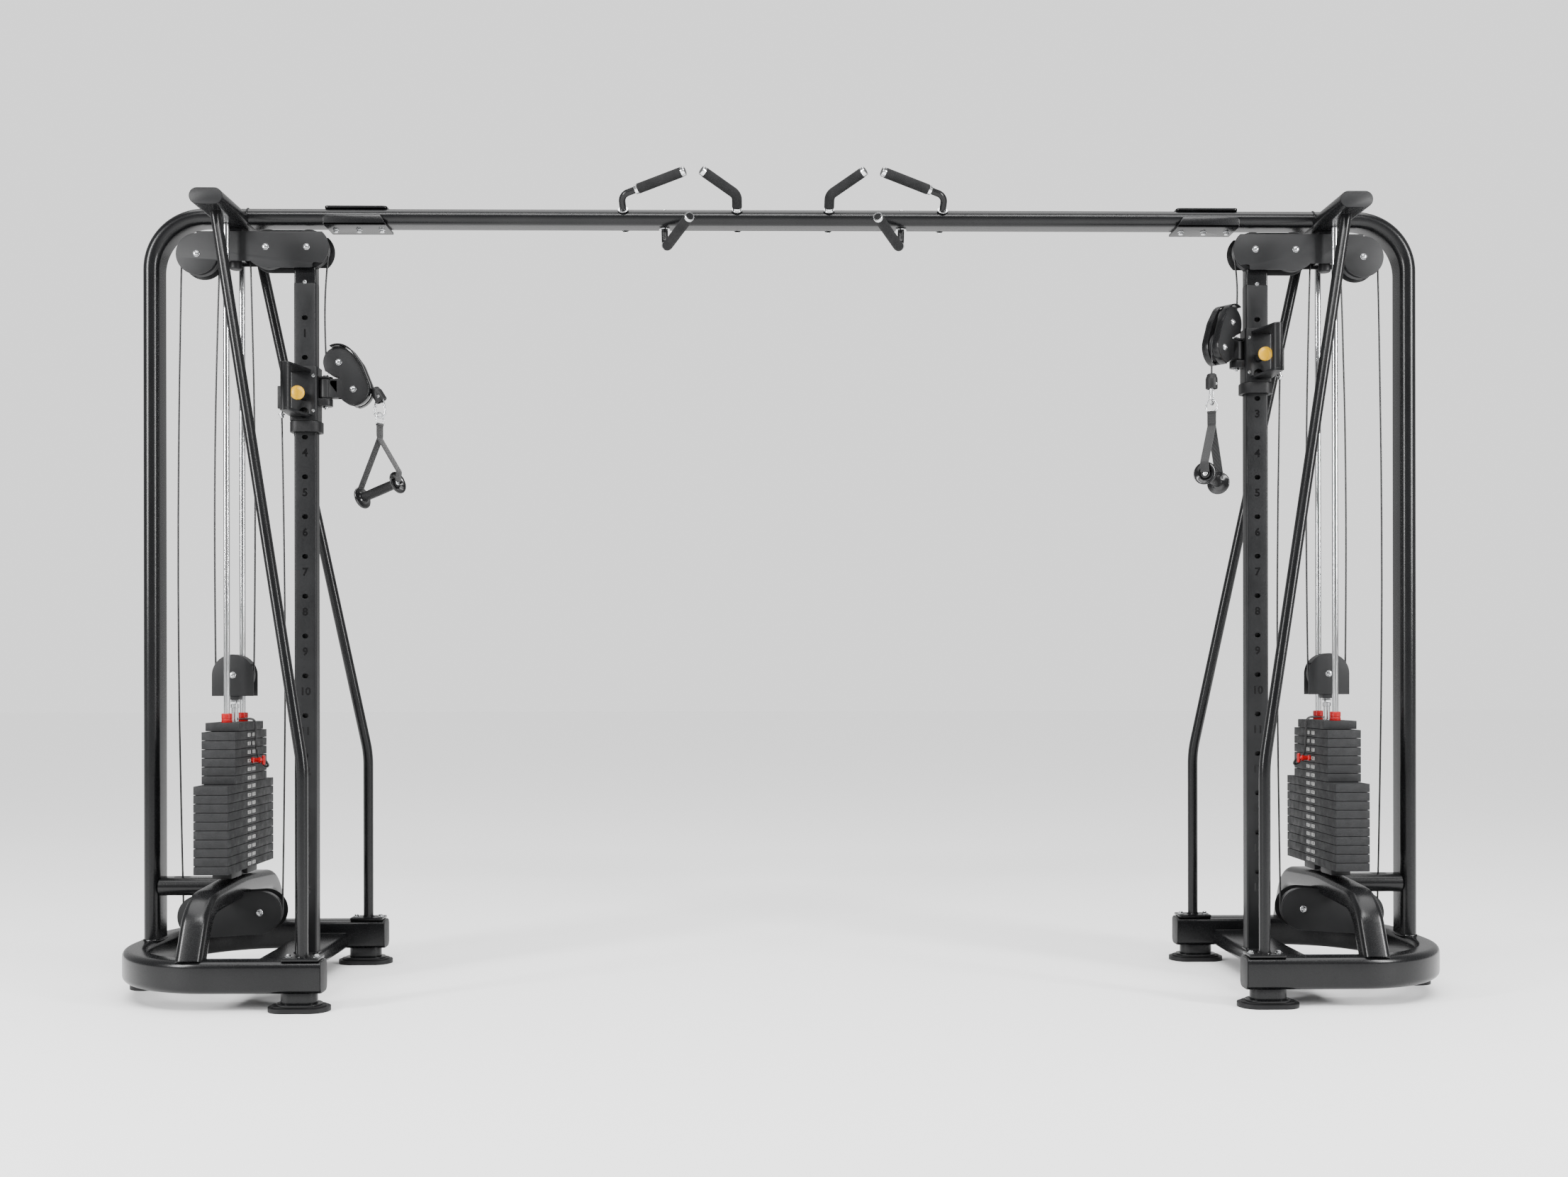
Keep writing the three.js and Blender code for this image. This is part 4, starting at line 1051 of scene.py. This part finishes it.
class Tower:
    """Names, mirroring and the places that differ between the two towers."""

    def __init__(self, name, side):
        self.name, self.side = name, side
        hanging = HANGING[name]
        pivot = Vector(joint(f"arm_swivel_{name}")["pos_m"]) / MM
        axis = joint(f"arm_pulley_upper_spin_{name}")["axis"]
        swing = Vector(joint(f"handle_swing_{name}")["pos_m"]) / MM
        self.hole_z = pivot.z
        self.pivot_x = side * pivot.x
        self.hook_low = swing.z - self.hole_z - 4
        self.ring_top = self.hook_low + 68
        self.tilt = math.radians(hanging["tilt"])
        swivel = Matrix.Rotation(math.atan2(-side * axis[0], axis[1]), 4, "Z")
        self.carriage = Matrix.Translation((0, 0, self.hole_z))
        self.arm = Matrix.Translation((self.pivot_x, 0, self.hole_z)) @ swivel
        about_hook = self.arm @ Matrix.Translation((-math.hypot(swing.x - pivot.x, swing.y), 0, 0))
        self.hook = about_hook @ Matrix.Rotation(math.radians(hanging["hook_turn"]), 4, "Z")
        self.handle = about_hook @ Matrix.Rotation(math.radians(hanging["handle_turn"]), 4, "Z")
        drop = math.radians(hanging["drop"])
        self.stop_along = Vector((-math.cos(drop), 0, -math.sin(drop)))
        self.stop_start = Vector(hanging["stop"]) + self.stop_along * 2.5

    def own(self, name):
        return f"{name}_{self.name}"

    def grip_point(self, distance):
        low = self.hook_low - 227
        return Vector((-distance * math.cos(self.tilt), 0, low + distance * math.sin(self.tilt)))

    def add(self, name, shape, material, body=ROOT, stands_for=(), crease=32, drawn_in=None):
        on = self.own(body) if body and body != ROOT else body
        nodes = [self.own(n) for n in stands_for]
        if drawn_in:
            shape = placed(shape, drawn_in)
        return piece(self.own(name), shape, material, on, nodes, self.side < 0, crease)


def wrap(place, r, start, end, steps=14):
    """Cable round a wheel, between two bearings in degrees."""
    return [Vector((u, 0, v)) for u, v in arc(place.x, place.z, r, start, end, steps)]


def bowed(start, end, slack, steps=10):
    """A nearly straight run of cable that bows sideways by slack."""
    start, end = Vector(start), Vector(end)
    right = (end - start).cross(Y).normalized()
    run = [start.lerp(end, k / steps) for k in range(steps + 1)]
    return [p + right * slack * math.sin(math.pi * k / steps) for k, p in enumerate(run)]


def beside(place, offset):
    return Vector((place.x + offset, 0, place.z))


def pull_line(start, end, steps=24):
    """The run from the arm to the stop, and the direction across its sections. They lean halfway towards the
    handle's pull, so that the run stays round however far it is drawn out."""
    along = (end - start).normalized()
    normal = (along - X).normalized()
    upward = Y.cross(normal) / normal.dot(along)
    places = [start.lerp(end, k / steps) for k in range(steps + 1)]
    return loft([[p + upward * u + Y * v for u, v in ring(CABLE_R, 12)] for p in places]), normal


def cables(tower):
    """The cable in runs: a run on one body rides on that body, and a run stretched between two bodies is
    baked in place on no body.
    """
    r, leaving = SHEAVE_CABLE_R, math.radians(4)

    def run(name, path, body=ROOT):
        return tower.add(f"cable_{name}", round_tube(path, CABLE_R, 12), JACKET, body, ["cable"])

    def stretched(name, carrier, start, end, slack):
        made = run(name, bowed(start, end, slack, 40), None)
        tower.own(carrier)
        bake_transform(made)

    anchor = Vector((LOW["inner"].x - r, 0, tower.hole_z - 62))
    stretched("to_carriage", "carriage", beside(LOW["inner"], -r), anchor, 9)
    rise = bowed(beside(LOW["outer"], r), beside(TOP["outer"], r), -14)[1:-1]
    run("under_base", wrap(LOW["inner"], r, 180, 270) + wrap(LOW["outer"], r, 270, 360) + rise
        + wrap(TOP["outer"], r, 0, 180, 24))
    stretched("outer_fall", "stack", beside(TOP["outer"], -r), beside(STACK_PULLEY, r), 9)
    run("under_stack", wrap(STACK_PULLEY, r, 0, -180, 24), "stack")
    stretched("inner_fall", "stack", beside(TOP["mid"], r), beside(STACK_PULLEY, -r), -9)
    run("over_top", wrap(TOP["mid"], r, 0, 90) + wrap(TOP["inner"], r, 90, 176, 14))
    leave = TOP["inner"] + Vector((-math.cos(leaving), 0, math.sin(leaving))) * r
    entry = Vector((0, 0, UPPER[1] + 30))
    stretched("arm_fall", "carriage", beside(leave, 0), entry + Vector((tower.pivot_x, 0, tower.hole_z)), 7)
    upper, lower = [Vector((-r, 0, z)) for r, z in (UPPER, LOWER)]
    path = [entry] + wrap(upper, ARM_CABLE_R, 0, -62, 8) + wrap(lower, ARM_CABLE_R, 118, 176, 8)
    run("on_arm", [tower.arm @ p for p in path], "arm")
    leave, stop = path[-1], tower.stop_start + tower.stop_along * 2
    shape, normal = pull_line(leave, stop)
    made = tower.add("cable_to_stop", shape, JACKET, None, ["cable"], drawn_in=tower.arm)
    tower.own("arm")
    tower.own("hook")
    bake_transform(made)


def build_frame(add, mirrored):
    """The pieces that don't move. Bent tubes are shaded smooth up to a wide crease angle."""
    add("base_tube", base_tube(), POWDER, stands_for=["base_frame"], crease=50)
    add("base_cross_tube", base_cross_tube(), POWDER, crease=50)
    add("base_caps", base_caps(), RUBBER)
    add("riser_arch", riser_arch(), POWDER, crease=50)
    add("link_tube", link_tube(), POWDER)
    add("base_welds", base_welds(), POWDER)
    add("foot_pads", foot_pads(), RUBBER)
    add("foot_bosses", foot_bosses(), POWDER)
    add("low_pulley_covers", low_covers(), COVER)
    add("low_pulley_bolts", low_bolts(), ZINC)
    add("corner_tube", corner_tube(), POWDER, stands_for=["corner_frame"], crease=50)
    add("tee_tube", tee_tube(), POWDER)
    add("tee_caps", tee_caps(), COVER)
    add("tee_weld", tee_weld(), POWDER)
    add("splice_plates", splice_plates(), POWDER)
    add("splice_bolts", splice_bolts(), ZINC)
    add("splice_seam", splice_seam(), INK_AND_SHADE)
    for s, name in ((-1, "front"), (1, "rear")):
        add(f"{name}_brace_tube", brace_tube(s), POWDER, stands_for=[f"{name}_brace"], crease=50)
        add(f"{name}_brace_plate", brace_plate(s), POWDER)
        add(f"{name}_brace_bolts", brace_bolts(s), ZINC)
    add("mast_tube", mast_tube(), SATIN, stands_for=["mast"])
    add("mast_numbers", mast_numbers(mirrored), INK_AND_SHADE)
    add("chrome_rods", guide_rods(), CHROME, stands_for=["guide_rods"])
    add("rod_bumpers", rod_bumpers(), RUBBER)
    add("housing_front", housing_plate(-38, -34), COVER, stands_for=["top_pulley_housing"])
    add("housing_back", housing_plate(34, 38), COVER)
    add("housing_frame", housing_frame(), POWDER)
    add("housing_bolts", housing_bolts(), ZINC)
    add("stack_stop", stop_bumper(), RUBBER)


def build_wheels(add):
    for row, places in (("top", TOP), ("bottom", LOW)):
        for place, spot in places.items():
            pulley = f"{row}_pulley_{place}"
            add(f"{row}_wheel_{place}", sheave(spot, SHEAVE_RIM), NYLON, pulley, [pulley])


def build_stack(add):
    rows = (("lifted", "stack", 0, LIFTED), ("resting", ROOT, LIFTED, PLATE["count"]))
    for name, body, first, last in rows:
        add(f"iron_{name}", plate_row(first, last), IRON, body, [f"plates_{name}"])
        socket_shade, labels, figures = plate_marks(first, last)
        # The pin socket discs are painted shade, black in place of the dark holes.
        add(f"pin_sockets_{name}", socket_shade, INK_AND_SHADE, body)
        add(f"labels_{name}", labels, LABEL, body)
        add(f"figures_{name}", figures, INK_AND_SHADE, body)
    add("head_plate", head_plate(), IRON, "stack", ["stack_head"])
    add("head_collars", head_collars(), RED, "stack")
    add("head_stem", head_stem(), CHROME, "stack")
    add("head_yoke", head_yoke(), COVER, "stack")
    add("head_bolt", pair_of_bolts(STACK_PULLEY.x, STACK_PULLEY.z, 22), ZINC, "stack")
    add("stack_wheel", sheave(STACK_PULLEY, SHEAVE_RIM), NYLON, "stack_pulley", ["stack_pulley"])
    add("selector_knob", selector_knob(), RED, "selector_pin", ["selector_pin"])
    add("selector_shaft", selector_shaft(), ZINC, "selector_pin")


def build_carriage(tower):
    for name, shape, material, body, stands_for in (
        ("carriage_body", carriage_body(), SATIN, "carriage", ["carriage"]),
        ("carriage_collar", carriage_collar(), RUBBER, "carriage", ["carriage"]),
        ("carriage_grip", carriage_grip(), SATIN, "carriage", ["carriage"]),
        ("carriage_hardware", carriage_hardware(), ZINC, "carriage", ["carriage"]),
        ("plunger_knob", plunger_knob(), YELLOW, "plunger", ["plunger"]),
        ("plunger_shaft", plunger_shaft(), ZINC, "plunger", []),
    ):
        tower.add(name, shape, material, body, stands_for, drawn_in=tower.carriage)


def build_arm(tower):
    pieces = [
        ("arm_plates", arm_plates(), COVER, "arm", ["pulley_arm"]),
        ("arm_guards", guards(), POWDER, "arm", ["pulley_arm"]),
        ("arm_bolts", arm_bolts(), ZINC, "arm", ["pulley_arm"]),
    ]
    for place, (r, z) in (("upper", UPPER), ("lower", LOWER)):
        pulley = f"arm_pulley_{place}"
        pieces.append((f"arm_wheel_{place}", sheave(Vector((-r, 0, z)), ARM_RIM), NYLON, pulley, [pulley]))
    pieces.append(("cable_stop", stop_shape(tower), RUBBER, "hook", ["snap_hook"]))
    pieces.append(("stop_screw", stop_screw(tower), ZINC, "hook", []))
    for name, shape, material, body, stands_for in pieces:
        tower.add(name, shape, material, body, stands_for, drawn_in=tower.arm)


def build_handle(tower):
    tower.add("carabiner", snap_hook(tower), ZINC, "hook", drawn_in=tower.hook)
    for name, shape, material in (
        ("d_ring", d_ring(tower), ZINC), ("webbing", strap(tower), WEBBING),
        ("stitches", strap_stitches(tower), THREAD), ("grip_tube", grip_tube(tower), RUBBER),
        ("grip_flanges", grip_flanges(tower), GLOSS), ("grip_bolts", grip_bolts(tower), ZINC),
    ):
        tower.add(name, shape, material, "handle", ["strap_handle"], 50, tower.handle)


def build_tower(tower):
    build_frame(tower.add, tower.side < 0)
    build_wheels(tower.add)
    build_stack(tower.add)
    lanyard(tower)
    cables(tower)
    build_carriage(tower)
    build_arm(tower)
    build_handle(tower)


# ---------- beam and pull-up handles ----------
# Each handle's bar in the right half, the bend's radius, the bare share of its length, and its fixing bolt.
BEHIND = BEAM_Z - 18.5
PULL_UPS = {
    "inner": {"bar": [(145, -43.2, 2442.2), (145, -81, 2481), (254, -140, 2540)], "bend": 32, "bare": 0.035,
              "bolt": ((145, 43, BEHIND), (0, 0.7, -0.7))},
    "outer": {"bar": [(503, -43.2, 2442.2), (506, -80, 2480), (304, -138, 2538)], "bend": 32, "bare": 0.38,
              "bolt": ((503, 43, BEHIND), (0, 0.7, -0.7))},
    "lower": {"bar": [(376, 0, 2397.4), (374, -6, 2332), (287, -190, 2383)], "bend": 24, "bare": 0.25,
              "bolt": ((376, 0, BEAM_Z + 25), (0, 0, 1))},
}


def pull_up(name, side_name, mirrored):
    """A bent bar with a foam sleeve over the part of its length after bare, a collar and an end disc."""
    sizes = PULL_UPS[name]
    path = dense(fillet(sizes["bar"], [sizes["bend"]], 6), 6)
    tip = path[-1]
    along = (tip - Vector(sizes["bar"][-2])).normalized()
    lengths = distances(path)
    split = next(i for i, run in enumerate(lengths) if run >= sizes["bare"] * lengths[-1])
    start = path[split]
    ahead = (path[split + 1] - start).normalized()

    def add(kind, shape, material, crease=50):
        node_name = f"pull_up_{name}_{side_name}"
        return piece(f"{kind}_{name}_{side_name}", shape, material, ROOT, [node_name], mirrored, crease)

    add("bar", round_tube(path, 10.5, 24), POWDER)
    sleeve = [p for p in path[split:] if (tip - p).length > 13] + [tip - along * 12]
    foam = add("foam", softened(round_tube(sleeve, 15.8, 28), 1.2), FOAM)
    collar = rod(start - ahead * 11, start + ahead * 1, 14.5, 1.4)
    end_ring = [(0, 0), (14.6, 0), (15, 1), (15, 11.5), (14.2, 12.7), (11, 12.7), (10, 11), (9.6, 7), (0, 7)]
    disc = between(lathe(end_ring), tip - along * 13, tip)
    bezel = rod(tip - along * 7, tip - along * 3.4, 5.5, 1.2)
    first = (path[1] - path[0]).normalized()
    washer = rod(path[0] + first * 2, path[0] + first * 5, 17.5, 1)
    add("trim", merge(collar, disc, bezel, washer, hex_bolt(*sizes["bolt"], 13, 9, 12)), CHROME, 32)


def dense(path, step):
    """The path with points added where it runs straight."""
    out = [Vector(path[0])]
    for a, b in zip(path, path[1:]):
        a, b = Vector(a), Vector(b)
        count = max(1, round((b - a).length / step))
        out += [a.lerp(b, k / count) for k in range(1, count + 1)]
    return out


def centre_pieces():
    half = SEAM_X - 0.3
    beam = slab(oval(100, 50, 0, BEAM_Z), "X", -half, half)
    piece("beam_tube", beam, POWDER, ROOT, ["centre_beam"], crease=50)
    for side_name, mirrored in (("left", True), ("right", False)):
        for name in PULL_UPS:
            pull_up(name, side_name, mirrored)


# ---------- stage ----------
def stage():
    reach = 40
    corners = [(-reach, -reach, 0), (reach, -reach, 0), (reach, reach, 0), (-reach, reach, 0)]
    mesh = bpy.data.meshes.new("floor")
    mesh.from_pydata(corners, [], [(0, 1, 2, 3)])
    mesh.materials.append(shader("pale_floor", (0.9, 0.9, 0.9), 0.6)[0])
    linked("floor", mesh)


def studio():
    """A pale backdrop that shows bright. The even light it gives is dim in front and stronger behind."""
    world = bpy.data.worlds.new("studio")
    world.use_nodes = True
    tree = world.node_tree
    place = node(tree, "TexCoord").outputs["Generated"]
    depth = node(tree, "SeparateXYZ", Vector=place).outputs["Y"]
    given = to_range(tree, depth, 0.2, 0.75, -0.2, 0.7)
    seen = node(tree, "LightPath").outputs["Is Camera Ray"]
    strength = node(tree, "MapRange", Value=seen, To_Min=given, To_Max=1.45).outputs["Result"]
    wire(tree, tree.nodes["Background"], Color=(1, 1, 1, 1), Strength=strength)
    bpy.context.scene.world = world


def soft_box(name, place, aim, size, power):
    light = bpy.data.lights.new(name, "AREA")
    light.shape = "RECTANGLE"
    light.size, light.size_y = size
    light.energy = power
    made = linked(name, light)
    made.location = place
    made.rotation_euler = (Vector(aim) - Vector(place)).to_track_quat("-Z", "Y").to_euler()


def lights():
    for side in (-1, 1):
        soft_box("strip", (side * 5.2, -3.4, 2.9), (side * 1.6, 0, 1.4), (0.8, 2.8), 440)
    soft_box("front", (0, -3.6, 5.2), (0, 0, 2.0), (6.5, 0.7), 420)
    sky = bpy.data.lights.new("overhead", "SUN")
    sky.energy = 3.9
    sky.angle = math.radians(60)
    linked("overhead", sky)


def camera():
    data = bpy.data.cameras.new("camera")
    data.lens = 36.1
    data.sensor_width = 36
    data.shift_y = 0.0568
    made = linked("camera", data)
    made.location = (-0.072, -5.0, 0.971)
    made.rotation_euler = (math.radians(90), 0.0014, -0.0147)
    bpy.context.scene.camera = made


camera()
for tower_name, tower_side in (("left", -1), ("right", 1)):
    build_tower(Tower(tower_name, tower_side))
centre_pieces()
stage()
studio()
lights()
